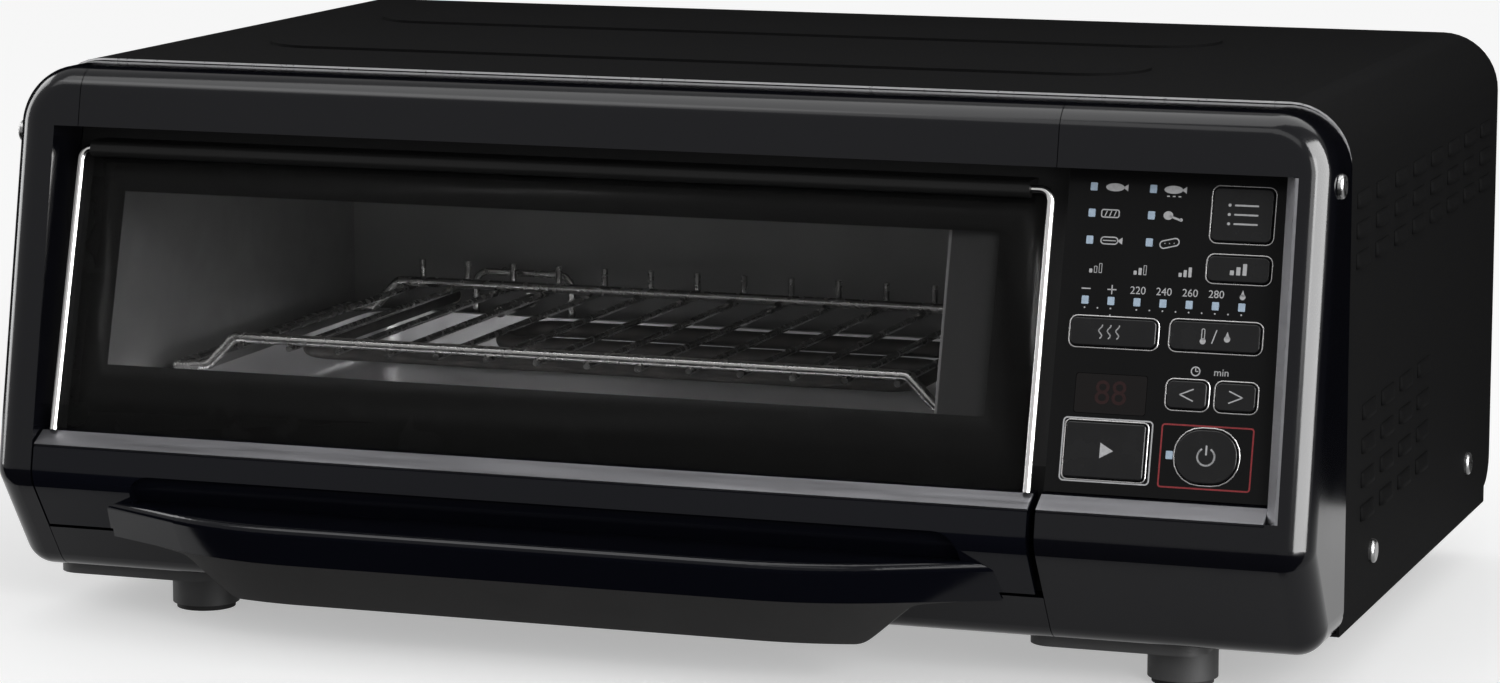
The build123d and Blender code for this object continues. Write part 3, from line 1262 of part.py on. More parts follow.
# ---- feet ----
def foot_places():
    """Foot centres as (x, y, direction of the longer end of the foot's plate)."""
    ends = ((FOOT_FRONT_Y, 1), (FOOT_REAR_Y, -1))
    return [(side * FOOT_X, y, away) for side in (-1, 1) for y, away in ends]


def foot_brackets():
    """Four moulded plates under the body, each with its round foot."""
    brackets = []
    long = FOOT_PLATE_REACH + FOOT_PLATE_BACK
    for x, y, away in foot_places():
        mid_x = x - FOOT_PLATE_SHIFT
        mid_y = y + away * (FOOT_PLATE_BACK - FOOT_PLATE_REACH) / 2
        plate = RectangleRounded(FOOT_PLATE_W, long, FOOT_PLATE_R)
        bracket = Pos(mid_x, mid_y, FOOT_PLATE_LOW) * extrude(plate, amount=FRAME_LOW - FIT - FOOT_PLATE_LOW)
        bracket = bracket + cylinder((x, y, PAD_THICK), (0, 0, 1), FOOT_R, FOOT_PLATE_LOW - PAD_THICK + OVER)
        seat_y = y + away * FOOT_PLATE_BACK / 2
        half_x = FOOT_PLATE_W / 2 - FOOT_PLATE_R
        half_y = FOOT_PLATE_BACK / 2 - SEAT_EDGE
        seat = Box(2 * half_x, 2 * half_y, BASE_LOW - FOOT_PLATE_LOW)
        brackets.append(bracket + Pos(mid_x, seat_y, (BASE_LOW + FOOT_PLATE_LOW) / 2) * seat)
    return Compound(brackets)


def foot_pads():
    """Rubber pads under the feet."""
    return Compound([cylinder((x, y, 0), (0, 0, 1), PAD_R, PAD_THICK) for x, y, away in foot_places()])


PARTS = {
    "top_cover": top_cover,
    "rear_panel": rear_panel,
    "bottom_plate": bottom_plate,
    "front_left_pillar": front_left_pillar,
    "front_top_panel": front_top_panel,
    "front_base": front_base,
    "front_bulkhead": front_bulkhead,
    "control_housing": control_housing,
    "control_plate": control_plate,
    "housing_trim": housing_trim,
    "tact_switches": tact_switches,
    "indicator_lenses": indicator_lenses,
    "timer_display": timer_display,
    "control_board": control_board,
    "board_screws": board_screws,
    "door_lower_panel": door_lower_panel,
    "handle_grip": handle_grip,
    "door_trim_strip": door_trim_strip,
    "door_glass": door_glass,
    "glass_wire": glass_wire,
    "glass_cap": glass_cap,
    "tray_carrier": tray_carrier,
    "drawer_slides": drawer_slides,
    "drip_tray": drip_tray,
    "carrier_screws": carrier_screws,
    "grill_net": grill_net,
    "cavity_liner": cavity_liner,
    "cavity_floor": cavity_floor,
    "cavity_supports": cavity_supports,
    "upper_heaters": upper_heaters,
    "heater_holders": heater_holders,
    "heat_reflector": heat_reflector,
    "lower_heater": lower_heater,
    "heater_terminals": heater_terminals,
    "temperature_sensor": temperature_sensor,
    "sensor_guard": sensor_guard,
    "exhaust_duct": exhaust_duct,
    "catalyst_filter": catalyst_filter,
    "exhaust_fan": exhaust_fan,
    "fan_motor": fan_motor,
    "heat_shield": heat_shield,
    "board_spacers": board_spacers,
    "power_board": power_board,
    "power_components": power_components,
    "cord_gland": cord_gland,
    "wall_spacers": wall_spacers,
    "side_screws": side_screws,
    "rear_screws": rear_screws,
    "foot_brackets": foot_brackets,
    "foot_pads": foot_pads,
}

os.makedirs("parts", exist_ok=True)
solids = {name: make() for name, make in PARTS.items()}
for side, name in enumerate(("drawer_rail_left", "drawer_rail_right")):
    solids[name] = drawer_rail(side)
for name, x, z, width, height, radius in BUTTONS:
    solids[name] = button(x, z, width, height, radius)
for name, solid in solids.items():
    export_step(Pos(0, SHIFT_Y, 0) * solid, f"parts/{name}.step")
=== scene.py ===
import bmesh
import bpy
import math
from mathutils import Matrix, Vector


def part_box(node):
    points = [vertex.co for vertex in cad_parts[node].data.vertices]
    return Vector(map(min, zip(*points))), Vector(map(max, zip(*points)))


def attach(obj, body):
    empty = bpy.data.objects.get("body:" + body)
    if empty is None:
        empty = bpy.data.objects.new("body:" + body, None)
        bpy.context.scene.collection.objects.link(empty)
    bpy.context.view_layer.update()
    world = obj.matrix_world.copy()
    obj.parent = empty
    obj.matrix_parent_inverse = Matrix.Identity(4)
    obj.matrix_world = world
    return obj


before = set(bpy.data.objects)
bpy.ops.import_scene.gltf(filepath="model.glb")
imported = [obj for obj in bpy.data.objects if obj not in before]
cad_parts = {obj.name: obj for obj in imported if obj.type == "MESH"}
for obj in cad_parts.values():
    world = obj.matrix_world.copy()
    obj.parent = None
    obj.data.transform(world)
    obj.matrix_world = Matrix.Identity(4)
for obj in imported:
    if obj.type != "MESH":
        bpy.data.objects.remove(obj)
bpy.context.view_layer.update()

# ---- camera ----
# The eye stands in front of the control side, a little above the cover, with a long lens, so that
# the front, the top and the panel's side show. Its place is measured from the cover's front seam.
seam_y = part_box("top_cover")[0][1]
eye_x, eye_back, eye_z = 0.5962, 1.6139, 0.3864
eye_down, eye_turn = math.radians(9.089), math.radians(19.342)
eye = bpy.data.objects.new("camera", bpy.data.cameras.new("camera"))
bpy.context.scene.collection.objects.link(eye)
eye.data.lens = 116.36
eye.data.sensor_width = 36
eye.data.clip_start = 0.05
eye.data.clip_end = 60
eye.location = (eye_x, seam_y - eye_back, eye_z)
eye.rotation_euler = (math.pi / 2 - eye_down, 0, eye_turn)
bpy.context.scene.camera = eye
bpy.context.scene.view_settings.view_transform = "Standard"

# ---- floor and light ----
# A plain white sweep under the part, in a pale room. The eye and the reflections see the room and the
# floor white, while the light they throw on the part stays at a plain level.


def direct_rays(tree):
    """Output that is 1 for camera, glossy and transmission rays, and 0 for light that spreads."""
    path = tree.nodes.new("ShaderNodeLightPath")
    bounced = tree.nodes.new("ShaderNodeMath")
    bounced.operation = "MAXIMUM"
    tree.links.new(path.outputs["Is Glossy Ray"], bounced.inputs[0])
    tree.links.new(path.outputs["Is Transmission Ray"], bounced.inputs[1])
    direct = tree.nodes.new("ShaderNodeMath")
    direct.operation = "MAXIMUM"
    tree.links.new(path.outputs["Is Camera Ray"], direct.inputs[0])
    tree.links.new(bounced.outputs[0], direct.inputs[1])
    return direct.outputs[0]


def studio_plane(name, paint, matrix):
    """Flat plane of the studio, one metre square before its matrix."""
    sheet = bmesh.new()
    bmesh.ops.create_grid(sheet, x_segments=1, y_segments=1, size=0.5, matrix=matrix)
    plane = bpy.data.objects.new(name, bpy.data.meshes.new(name))
    sheet.to_mesh(plane.data)
    sheet.free()
    bpy.context.scene.collection.objects.link(plane)
    plane.data.materials.append(paint)
    return plane


def studio_paint(name, grey):
    """Matt paint of the studio, without any gloss."""
    paint = bpy.data.materials.new(name)
    paint.use_nodes = True
    shader = paint.node_tree.nodes["Principled BSDF"]
    shader.inputs["Base Color"].default_value = (grey, grey, grey, 1)
    shader.inputs["Specular IOR Level"].default_value = 0.0
    return paint


world = bpy.data.worlds.new("studio")
bpy.context.scene.world = world
world.use_nodes = True
room_light, room_seen = 0.62, 1.0
sky = world.node_tree.nodes["Background"]
sky.inputs["Color"].default_value = (1, 1, 1, 1)
room_level = world.node_tree.nodes.new("ShaderNodeMapRange")
room_level.inputs["To Min"].default_value = room_light
room_level.inputs["To Max"].default_value = room_seen
world.node_tree.links.new(direct_rays(world.node_tree), room_level.inputs["Value"])
world.node_tree.links.new(room_level.outputs[0], sky.inputs["Strength"])

floor_width, floor_glow = 24, 0.42
floor_paint = studio_paint("floor_paint", 0.80)
floor_tree = floor_paint.node_tree
floor_shader = floor_tree.nodes["Principled BSDF"]
floor_shader.inputs["Roughness"].default_value = 0.9
floor_shader.inputs["Emission Color"].default_value = (1, 1, 1, 1)
floor_lift = floor_tree.nodes.new("ShaderNodeMath")
floor_lift.operation = "MULTIPLY"
floor_lift.inputs[1].default_value = floor_glow
floor_tree.links.new(direct_rays(floor_tree), floor_lift.inputs[0])
floor_tree.links.new(floor_lift.outputs[0], floor_shader.inputs["Emission Strength"])
floor = studio_plane("floor", floor_paint, Matrix.Diagonal((floor_width, floor_width, 1, 1)))


def soft_lamp(name, place, aim, width, height, watts, gloss_only=False):
    """Rectangular lamp that points at a place on the part."""
    lamp = bpy.data.objects.new(name, bpy.data.lights.new(name, "AREA"))
    lamp.data.shape = "RECTANGLE"
    lamp.data.size = width
    lamp.data.size_y = height
    lamp.data.energy = watts
    lamp.location = place
    lamp.rotation_euler = (Vector(aim) - Vector(place)).to_track_quat("-Z", "Y").to_euler()
    lamp.visible_diffuse = not gloss_only
    bpy.context.scene.collection.objects.link(lamp)


# The key lamp gives the soft shadow. The other four only draw highlights: two from above, for the long
# edges, and a tall one on each side, for the upright edges.
soft_lamp("lamp_key", (1.5, -1.7, 0.9), (-0.1, 0, 0.1), 0.8, 0.8, 18)
soft_lamp("lamp_above", (-0.05, -0.05, 1.9), (0, -0.1, 0.2), 3.6, 1.1, 62, True)
soft_lamp("lamp_brow", (-0.5, -1.35, 1.65), (0, -0.15, 0.2), 2.6, 0.5, 12, True)
soft_lamp("lamp_right", (1.9, -0.75, 0.85), (0.25, -0.1, 0.1), 1.9, 2.2, 430, True)
soft_lamp("lamp_left", (-2.0, 0.2, 0.7), (-0.2, -0.1, 0.1), 1.0, 1.6, 45, True)

# Two black cards, one upright behind the part and one on the floor in front of it. Only reflections
# see them, so that the flat glossy faces stay dark.
card_paint = studio_paint("card_paint", 0.0)
for card_name, place, turn, width, height in (("card_behind", (0, 0.24, 0.3), math.pi / 2, 3.2, 0.7),
                                              ("card_front", (0, -0.66, 0.0004), 0, 1.6, 1.0)):
    card = studio_plane(card_name, card_paint, Matrix.Translation(place) @ Matrix.Rotation(turn, 4, "X")
                        @ Matrix.Diagonal((width, height, 1, 1)))
    card.visible_camera = False
    card.visible_diffuse = False
    card.visible_transmission = False
    card.visible_shadow = False

# ---- cover ----
# One sheet of steel folded over the top and both sides, in a fine matt black powder paint. A thin strip of
# bright steel along its front edge, over the front frame, stands in for the highlight on that edge: a
# painted highlight. Each louvre is a stamped hood that stands a little proud of the side.


def finish(name, colour, roughness, metallic=0.0, level=0.5):
    """New material and its shader, in one colour."""
    material = bpy.data.materials.new(name)
    material.use_nodes = True
    shader = material.node_tree.nodes["Principled BSDF"]
    shader.inputs["Base Color"].default_value = (*colour, 1)
    shader.inputs["Roughness"].default_value = roughness
    shader.inputs["Metallic"].default_value = metallic
    shader.inputs["Specular IOR Level"].default_value = level
    return material


def noise(material, scale, detail=3.0, stretch=(1, 1, 1)):
    """Noise on the part's own coordinates; the scale counts grains per metre."""
    nodes, links = material.node_tree.nodes, material.node_tree.links
    place = nodes.new("ShaderNodeTexCoord")
    turn = nodes.new("ShaderNodeMapping")
    turn.inputs["Scale"].default_value = stretch
    cloud = nodes.new("ShaderNodeTexNoise")
    cloud.inputs["Scale"].default_value = scale
    cloud.inputs["Detail"].default_value = detail
    links.new(place.outputs["Object"], turn.inputs["Vector"])
    links.new(turn.outputs["Vector"], cloud.inputs["Vector"])
    return cloud.outputs["Fac"]


def vary_gloss(material, low, high, scale, detail=3.0, stretch=(1, 1, 1)):
    """Roughness that wanders between two values."""
    nodes, links = material.node_tree.nodes, material.node_tree.links
    spread = nodes.new("ShaderNodeMapRange")
    spread.inputs["From Min"].default_value = 0.3
    spread.inputs["From Max"].default_value = 0.7
    spread.inputs["To Min"].default_value = low
    spread.inputs["To Max"].default_value = high
    links.new(noise(material, scale, detail, stretch), spread.inputs["Value"])
    links.new(spread.outputs["Result"], nodes["Principled BSDF"].inputs["Roughness"])


def vary_colour(material, first, second, scale, detail=3.0, stretch=(1, 1, 1)):
    """Colour that wanders between two values."""
    nodes, links = material.node_tree.nodes, material.node_tree.links
    blend = nodes.new("ShaderNodeValToRGB")
    blend.color_ramp.elements[0].position = 0.35
    blend.color_ramp.elements[1].position = 0.68
    blend.color_ramp.elements[0].color = (*first, 1)
    blend.color_ramp.elements[1].color = (*second, 1)
    links.new(noise(material, scale, detail, stretch), blend.inputs["Fac"])
    links.new(blend.outputs["Color"], nodes["Principled BSDF"].inputs["Base Color"])


def grain(material, scale, height, detail=2.0, stretch=(1, 1, 1)):
    """Fine relief, with its height in metres."""
    nodes, links = material.node_tree.nodes, material.node_tree.links
    relief = nodes.new("ShaderNodeBump")
    relief.inputs["Distance"].default_value = height
    links.new(noise(material, scale, detail, stretch), relief.inputs["Height"])
    links.new(relief.outputs["Normal"], nodes["Principled BSDF"].inputs["Normal"])


def dress(material, *names):
    """Puts a material on nodes of the frame."""
    for name in names:
        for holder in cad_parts[name].material_slots:
            holder.material = material


def piece(shape, name, body, material, crease=32):
    """Turns a bmesh into a piece that rides on a body; edges sharper than crease degrees stay hard."""
    mesh = bpy.data.meshes.new(name)
    shape.to_mesh(mesh)
    shape.free()
    for face in mesh.polygons:
        face.use_smooth = True
    mesh.set_sharp_from_angle(angle=math.radians(crease))
    mesh.materials.append(material)
    made = bpy.data.objects.new(name, mesh)
    bpy.context.scene.collection.objects.link(made)
    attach(made, body)
    return made


powder_black = finish("powder_black", (0.0065, 0.0065, 0.0067), 0.7, level=0.01)
vary_gloss(powder_black, 0.68, 0.74, 1400)
vary_colour(powder_black, (0.0058, 0.0058, 0.0060), (0.0074, 0.0074, 0.0076), 900)
grain(powder_black, 2600, 0.00003)
dress(powder_black, "top_cover", "rear_panel", "bottom_plate")

# Bright steel for the strip along the cover's front edge; it stands in for the highlight on that edge, a
# painted highlight.
seam_highlight_steel = finish("seam_highlight_steel", (0.52, 0.52, 0.53), 0.3, metallic=1.0)
vary_gloss(seam_highlight_steel, 0.26, 0.38, 600)
# The line follows the sheet's section: the flat top, and the bend round bend_x, bend_z on each side.
edge_outer, edge_inner, edge_proud = 0.02195, 0.02125, 0.00012
bend_x, bend_z = 0.225, 0.184
bend_steps = 10
front_edge = bmesh.new()
outer_line, inner_line = [], []
for side in (-1, 1):
    for step in range(bend_steps + 1):
        swing = math.pi / 2 * (step if side > 0 else bend_steps - step) / bend_steps
        for line, reach in ((outer_line, edge_outer), (inner_line, edge_inner)):
            line.append(front_edge.verts.new((side * (bend_x + reach * math.sin(swing)),
                                              seam_y - edge_proud, bend_z + reach * math.cos(swing))))
for i in range(len(outer_line) - 1):
    front_edge.faces.new((outer_line[i], inner_line[i], inner_line[i + 1], outer_line[i + 1]))
piece(front_edge, "cover_front_edge", "body", seam_highlight_steel)

hood_long, hood_high, hood_rise, hood_gap = 0.0205, 0.0052, 0.0013, 0.00005
hood_pitch = 0.0315
slots = []
for first_y, count, heights in ((0.019, 8, (0.171, 0.1605, 0.150)), (0.034, 4, (0.095, 0.083, 0.071, 0.059))):
    slots += [(first_y + hood_pitch * i, slot_z) for slot_z in heights for i in range(count)]
wall_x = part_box("top_cover")[1][0]
hoods = bmesh.new()
for side in (-1, 1):
    for slot_y, slot_z in slots:
        hood = bmesh.ops.create_grid(hoods, x_segments=8, y_segments=3, size=0.5)["verts"]
        for vertex in hood:
            along, down = vertex.co.x, 0.5 - vertex.co.y
            bulge = (1 - (2 * abs(along)) ** 4) * min(1.0, down * 1.6)
            vertex.co = Vector((side * (wall_x + hood_gap + hood_rise * bulge),
                                seam_y + slot_y + along * hood_long,
                                slot_z + hood_high * (0.62 - down)))
bmesh.ops.recalc_face_normals(hoods, faces=hoods.faces)
hood_piece = piece(hoods, "louvre_hoods", "body", powder_black, 60)
hood_wall = hood_piece.modifiers.new("sheet", "SOLIDIFY")
hood_wall.thickness = 0.0006
hood_wall.offset = 0

# ---- front frame ----
# Four mouldings in high gloss black plastic round the drawer and the control panel. The polished
# edges are rounded, with hairline joints between the mouldings.
piano_black = finish("piano_black", (0.0035, 0.0036, 0.0052), 0.12, level=0.16)
vary_gloss(piano_black, 0.10, 0.15, 40)
grain(piano_black, 14, 0.00004, 1.0)
dress(piano_black, "front_left_pillar", "front_top_panel", "front_base", "control_housing")

inner_black = finish("inner_black", (0.004, 0.004, 0.0042), 0.6, level=0.2)
grain(inner_black, 900, 0.00002)
dress(inner_black, "front_bulkhead", "heat_shield")

# ---- drawer front ----
# The drawer's moulding is the same gloss black, with a bright foil strip under the glass. Its lower
# edge runs out into a wide handle with a matt grey underside for the fingers.
door_black = finish("door_black", (0.0030, 0.0033, 0.0056), 0.12, level=0.12)
vary_gloss(door_black, 0.09, 0.14, 40)
grain(door_black, 14, 0.00004, 1.0)
dress(door_black, "door_lower_panel")

grip_grey = finish("grip_grey", (0.029, 0.0285, 0.0285), 0.5, level=0.12)
vary_gloss(grip_grey, 0.45, 0.58, 120)
grain(grip_grey, 1800, 0.00004)
dress(grip_grey, "handle_grip")

bright_foil = finish("bright_foil", (0.14, 0.14, 0.148), 0.34, metallic=1.0)
vary_gloss(bright_foil, 0.30, 0.40, 400, stretch=(0.05, 1, 1))
grain(bright_foil, 1400, 0.00001, stretch=(0.03, 1, 1))
dress(bright_foil, "door_trim_strip", "housing_trim")

# ---- glass ----
# A pane of tempered glass, clear in the middle and printed black round the edge from behind. It is
# held by a chrome wire and by a dark bar over its upper edge.
oven_glass = finish("oven_glass", (0.012, 0.012, 0.012), 0.03, level=0.06)
oven_glass.node_tree.nodes["Principled BSDF"].inputs["Alpha"].default_value = 0.15
vary_gloss(oven_glass, 0.02, 0.05, 20)
dress(oven_glass, "door_glass")

lean = math.atan(0.28)
slope_foot = 0.074
pane_low = Vector((0, seam_y - 0.045, slope_foot))
up_slope = Vector((0, math.sin(lean), math.cos(lean)))
off_slope = Vector((0, -math.cos(lean), math.sin(lean)))


def on_slope(x, z, proud=0.0):
    """Matrix that lays a flat shape on the sloped front, at an x and a height, proud of it or behind."""
    place = pane_low + up_slope * ((z - slope_foot) / math.cos(lean)) + off_slope * proud
    place.x = x
    return Matrix.Translation(place) @ Matrix.Rotation(math.pi / 2 - lean, 4, "X")


print_black = finish("print_black", (0.0050, 0.0048, 0.0048), 0.25, level=0.05)
vary_gloss(print_black, 0.22, 0.3, 60)
pane_left, pane_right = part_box("door_glass")[0][0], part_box("door_glass")[1][0]
pane_top = 0.1748
pane_bottom = 0.0741
window_left, window_right = -0.2085, 0.1272
window_low, window_top = 0.098, 0.160
print_proud, ink_wall = -0.0043, 0.0002
border = bmesh.new()
border_loops = []
for left, right, low, top in ((pane_left, pane_right, pane_bottom, pane_top),
                              (window_left, window_right, window_low, window_top)):
    corners = ((left, low), (right, low), (right, top), (left, top))
    border_loops.append([border.verts.new(on_slope(x, z, print_proud) @ Vector()) for x, z in corners])
outer_loop, inner_loop = border_loops
for i in range(4):
    j = (i + 1) % 4
    border.faces.new((outer_loop[i], outer_loop[j], inner_loop[j], inner_loop[i]))
border_piece = piece(border, "glass_print", "drawer", print_black)
border_wall = border_piece.modifiers.new("ink", "SOLIDIFY")
border_wall.thickness = ink_wall
border_wall.offset = -1

wire_chrome = finish("wire_chrome", (0.46, 0.455, 0.45), 0.2, metallic=1.0)
vary_gloss(wire_chrome, 0.12, 0.22, 300)
dress(wire_chrome, "glass_wire")

cap_dark = finish("cap_dark", (0.007, 0.007, 0.007), 0.3, level=0.12)
vary_gloss(cap_dark, 0.3, 0.42, 200, stretch=(0.1, 1, 1))
dress(cap_dark, "glass_cap")

# ---- roasting cavity ----
# Heat resistant steel sheet with a dull grey film, a bright reflector over the tube heaters, and a
# wire guard round the sensor on the rear wall.
cavity_steel = finish("cavity_steel", (0.18, 0.18, 0.18), 0.5, metallic=0.2)
vary_gloss(cavity_steel, 0.36, 0.5, 120)
vary_colour(cavity_steel, (0.165, 0.165, 0.165), (0.195, 0.195, 0.193), 25)
grain(cavity_steel, 900, 0.00001)
dress(cavity_steel, "cavity_liner", "cavity_floor")

zinc_sheet = finish("zinc_sheet", (0.42, 0.43, 0.44), 0.4, metallic=1.0)
vary_gloss(zinc_sheet, 0.3, 0.5, 160)
vary_colour(zinc_sheet, (0.36, 0.37, 0.38), (0.47, 0.48, 0.49), 110, 5.0)
grain(zinc_sheet, 500, 0.00001)
dress(zinc_sheet, "tray_carrier", "drawer_slides", "cavity_supports", "drawer_rail_left",
      "drawer_rail_right", "exhaust_duct", "exhaust_fan")

bright_sheet = finish("bright_sheet", (0.80, 0.80, 0.81), 0.36, metallic=1.0)
vary_gloss(bright_sheet, 0.30, 0.42, 70)
dress(bright_sheet, "heat_reflector", "drip_tray")

net_chrome = finish("net_chrome", (0.42, 0.415, 0.41), 0.24, metallic=1.0)
vary_gloss(net_chrome, 0.18, 0.32, 260)
dress(net_chrome, "grill_net", "sensor_guard", "temperature_sensor")

heater_sheath = finish("heater_sheath", (0.03, 0.028, 0.027), 0.55, metallic=0.3)
vary_colour(heater_sheath, (0.022, 0.021, 0.021), (0.05, 0.045, 0.042), 220)
grain(heater_sheath, 1500, 0.00002)
dress(heater_sheath, "lower_heater")

milk_quartz = finish("milk_quartz", (0.72, 0.68, 0.60), 0.3, level=0.5)
vary_colour(milk_quartz, (0.66, 0.62, 0.55), (0.78, 0.75, 0.68), 90)
dress(milk_quartz, "upper_heaters")

white_ceramic = finish("white_ceramic", (0.62, 0.58, 0.50), 0.7, level=0.3)
vary_colour(white_ceramic, (0.55, 0.51, 0.44), (0.68, 0.64, 0.56), 160)
grain(white_ceramic, 900, 0.00004)
dress(white_ceramic, "heater_holders", "heater_terminals")

# ---- smoke outlet and electrics ----
# A coated honeycomb block, a small fan and the boards behind the control side.
filter_block = finish("filter_block", (0.10, 0.085, 0.07), 0.8, level=0.2)
vary_colour(filter_block, (0.08, 0.066, 0.055), (0.13, 0.11, 0.09), 400)
grain(filter_block, 1200, 0.00006)
dress(filter_block, "catalyst_filter")

motor_grey = finish("motor_grey", (0.12, 0.12, 0.125), 0.4, metallic=0.6)
vary_gloss(motor_grey, 0.34, 0.48, 200)
dress(motor_grey, "fan_motor")

board_green = finish("board_green", (0.012, 0.075, 0.03), 0.35, level=0.5)
vary_colour(board_green, (0.010, 0.065, 0.026), (0.016, 0.09, 0.036), 300, 4.0)
dress(board_green, "control_board", "power_board")

moulded_dark = finish("moulded_dark", (0.012, 0.012, 0.013), 0.5, level=0.35)
vary_gloss(moulded_dark, 0.42, 0.58, 200)
grain(moulded_dark, 1500, 0.00003)
dress(moulded_dark, "tact_switches", "board_spacers", "cord_gland", "wall_spacers")

part_blue = finish("part_blue", (0.03, 0.05, 0.10), 0.45, level=0.4)
vary_colour(part_blue, (0.02, 0.03, 0.06), (0.05, 0.075, 0.14), 45, 0.0)
dress(part_blue, "power_components")

# ---- screws and feet ----
# Black and zinc plated pan head screws, and round moulded feet with rubber pads.
screw_dark = finish("screw_dark", (0.18, 0.18, 0.18), 0.3, metallic=1.0)
vary_gloss(screw_dark, 0.22, 0.36, 500)
dress(screw_dark, "side_screws", "rear_screws")

screw_zinc = finish("screw_zinc", (0.5, 0.5, 0.51), 0.3, metallic=1.0)
vary_gloss(screw_zinc, 0.24, 0.4, 500)
dress(screw_zinc, "board_screws", "carrier_screws")

# Set lighter than the grip's grey for the light that falls on the feet's front faces: painted light.
foot_grey_painted_light = finish("foot_grey_painted_light", (0.060, 0.060, 0.061), 0.55, level=0.2)
vary_gloss(foot_grey_painted_light, 0.5, 0.62, 150)
grain(foot_grey_painted_light, 1800, 0.00004)
dress(foot_grey_painted_light, "foot_brackets")

pad_rubber = finish("pad_rubber", (0.018, 0.018, 0.018), 0.8, level=0.2)
grain(pad_rubber, 1500, 0.00005)
dress(pad_rubber, "foot_pads")

# ---- control panel ----
# A flat gloss plate, pierced for eight keys and fourteen lamps. Legends and outlines are printed in
# pale grey; each key has a raised rim round it, coloured silver as a painted highlight for the light on its
# bevel, and the power key's frame is dark red.
plate_black = finish("plate_black", (0.006, 0.006, 0.0062), 0.22, level=0.05)
vary_gloss(plate_black, 0.18, 0.26, 50)
dress(plate_black, "control_plate")

key_black = finish("key_black", (0.006, 0.006, 0.0065), 0.25, level=0.15)
vary_gloss(key_black, 0.2, 0.3, 120)
dress(key_black, "menu_button", "level_button", "smoke_button", "temperature_button", "timer_down_button",
      "timer_up_button", "start_button", "power_button")

lamp_blue = finish("lamp_blue", (0.33, 0.42, 0.52), 0.3, level=0.5)
vary_colour(lamp_blue, (0.30, 0.39, 0.49), (0.36, 0.46, 0.57), 700)
dress(lamp_blue, "indicator_lenses")

display_smoke = finish("display_smoke", (0.007, 0.006, 0.006), 0.15, level=0.10)
vary_gloss(display_smoke, 0.12, 0.18, 60)
dress(display_smoke, "timer_display")


def rounded(shape, width, height, radius, matrix, line=0.0):
    """Flat plate with round corners in a bmesh, or only a line along its edge."""
    old = set(shape.faces)
    corners = bmesh.ops.create_grid(shape, x_segments=1, y_segments=1, size=0.5,
                                    matrix=Matrix.Diagonal((width, height, 1, 1)))["verts"]
    if radius > 0:
        bmesh.ops.bevel(shape, geom=corners, offset=radius, offset_type="OFFSET", segments=5,
                        profile=0.5, affect="VERTICES", material=-1)
    inner = [face for face in shape.faces if face not in old]
    if line > 0:
        bmesh.ops.inset_region(shape, faces=inner, thickness=line, use_boundary=True)
        bmesh.ops.delete(shape, geom=inner, context="FACES")
    points = {vertex for face in shape.faces if face not in old for vertex in face.verts}
    bmesh.ops.transform(shape, matrix=matrix, verts=list(points))


def disc(shape, width, height, matrix, sides=24):
    """Flat ellipse, or a triangle with three sides."""
    bmesh.ops.create_circle(shape, cap_ends=True, segments=sides, radius=0.5,
                            matrix=matrix @ Matrix.Diagonal((width, height, 1, 1)))


def stroke(shape, start, end, width, matrix):
    """Straight printed line between two points."""
    run = Vector((end[0] - start[0], end[1] - start[1], 0))
    middle = Matrix.Translation(((start[0] + end[0]) / 2, (start[1] + end[1]) / 2, 0))
    turn = Matrix.Rotation(math.atan2(run.y, run.x), 4, "Z")
    rounded(shape, run.length + width, width, width * 0.4, matrix @ middle @ turn)


def words(shape, text, high, matrix):
    """Printed text, centred on a place."""
    letters = bpy.data.curves.new("letters", "FONT")
    letters.body = text
    letters.size = high / 0.72
    letters.align_x = "CENTER"
    letters.align_y = "CENTER"
    letters.resolution_u = 4
    holder = bpy.data.objects.new("letters", letters)
    bpy.context.scene.collection.objects.link(holder)
    bpy.context.view_layer.update()
    mesh = bpy.data.meshes.new_from_object(holder.evaluated_get(bpy.context.evaluated_depsgraph_get()))
    mesh.transform(matrix)
    shape.from_mesh(mesh)
    bpy.data.objects.remove(holder)
    bpy.data.curves.remove(letters)
    bpy.data.meshes.remove(mesh)


ink_grey = finish("ink_grey", (0.40, 0.40, 0.41), 0.45, level=0.2)
vary_colour(ink_grey, (0.37, 0.37, 0.38), (0.43, 0.43, 0.44), 900)
ink_red = finish("ink_red", (0.20, 0.016, 0.02), 0.4, level=0.2)
vary_colour(ink_red, (0.18, 0.014, 0.018), (0.23, 0.02, 0.024), 900)
# Silver for the raised rims round the keys: the rims are real, their silver is a painted highlight for the
# light on their bevels.
rim_painted_highlight = finish("rim_painted_highlight", (0.26, 0.255, 0.255), 0.3, metallic=1.0)
vary_gloss(rim_painted_highlight, 0.24, 0.36, 500)

# Each key: its x and height, its width, height and corner radius.
ink_proud = 0.00004
thin = 0.00042
keys = {
    "menu_button": (0.2137, 0.1686, 0.0210, 0.0185, 0.0020),
    "level_button": (0.2138, 0.1506, 0.0215, 0.0088, 0.0020),
    "smoke_button": (0.1719, 0.1278, 0.0300, 0.0096, 0.0020),
    "temperature_button": (0.2076, 0.1281, 0.0312, 0.0099, 0.0020),
    "timer_down_button": (0.1993, 0.1086, 0.0138, 0.0095, 0.0020),
    "timer_up_button": (0.2163, 0.1086, 0.0138, 0.0095, 0.0020),
    "start_button": (0.1722, 0.0887, 0.0279, 0.0191, 0.0012),
    "power_button": (0.2077, 0.0887, 0.0215, 0.0183, 0.0086),
}
rim_grow, rim_round, rim_line, rim_proud, rim_depth = 0.0019, 0.0009, 0.00055, 0.0003, 0.0005
rims = bmesh.new()
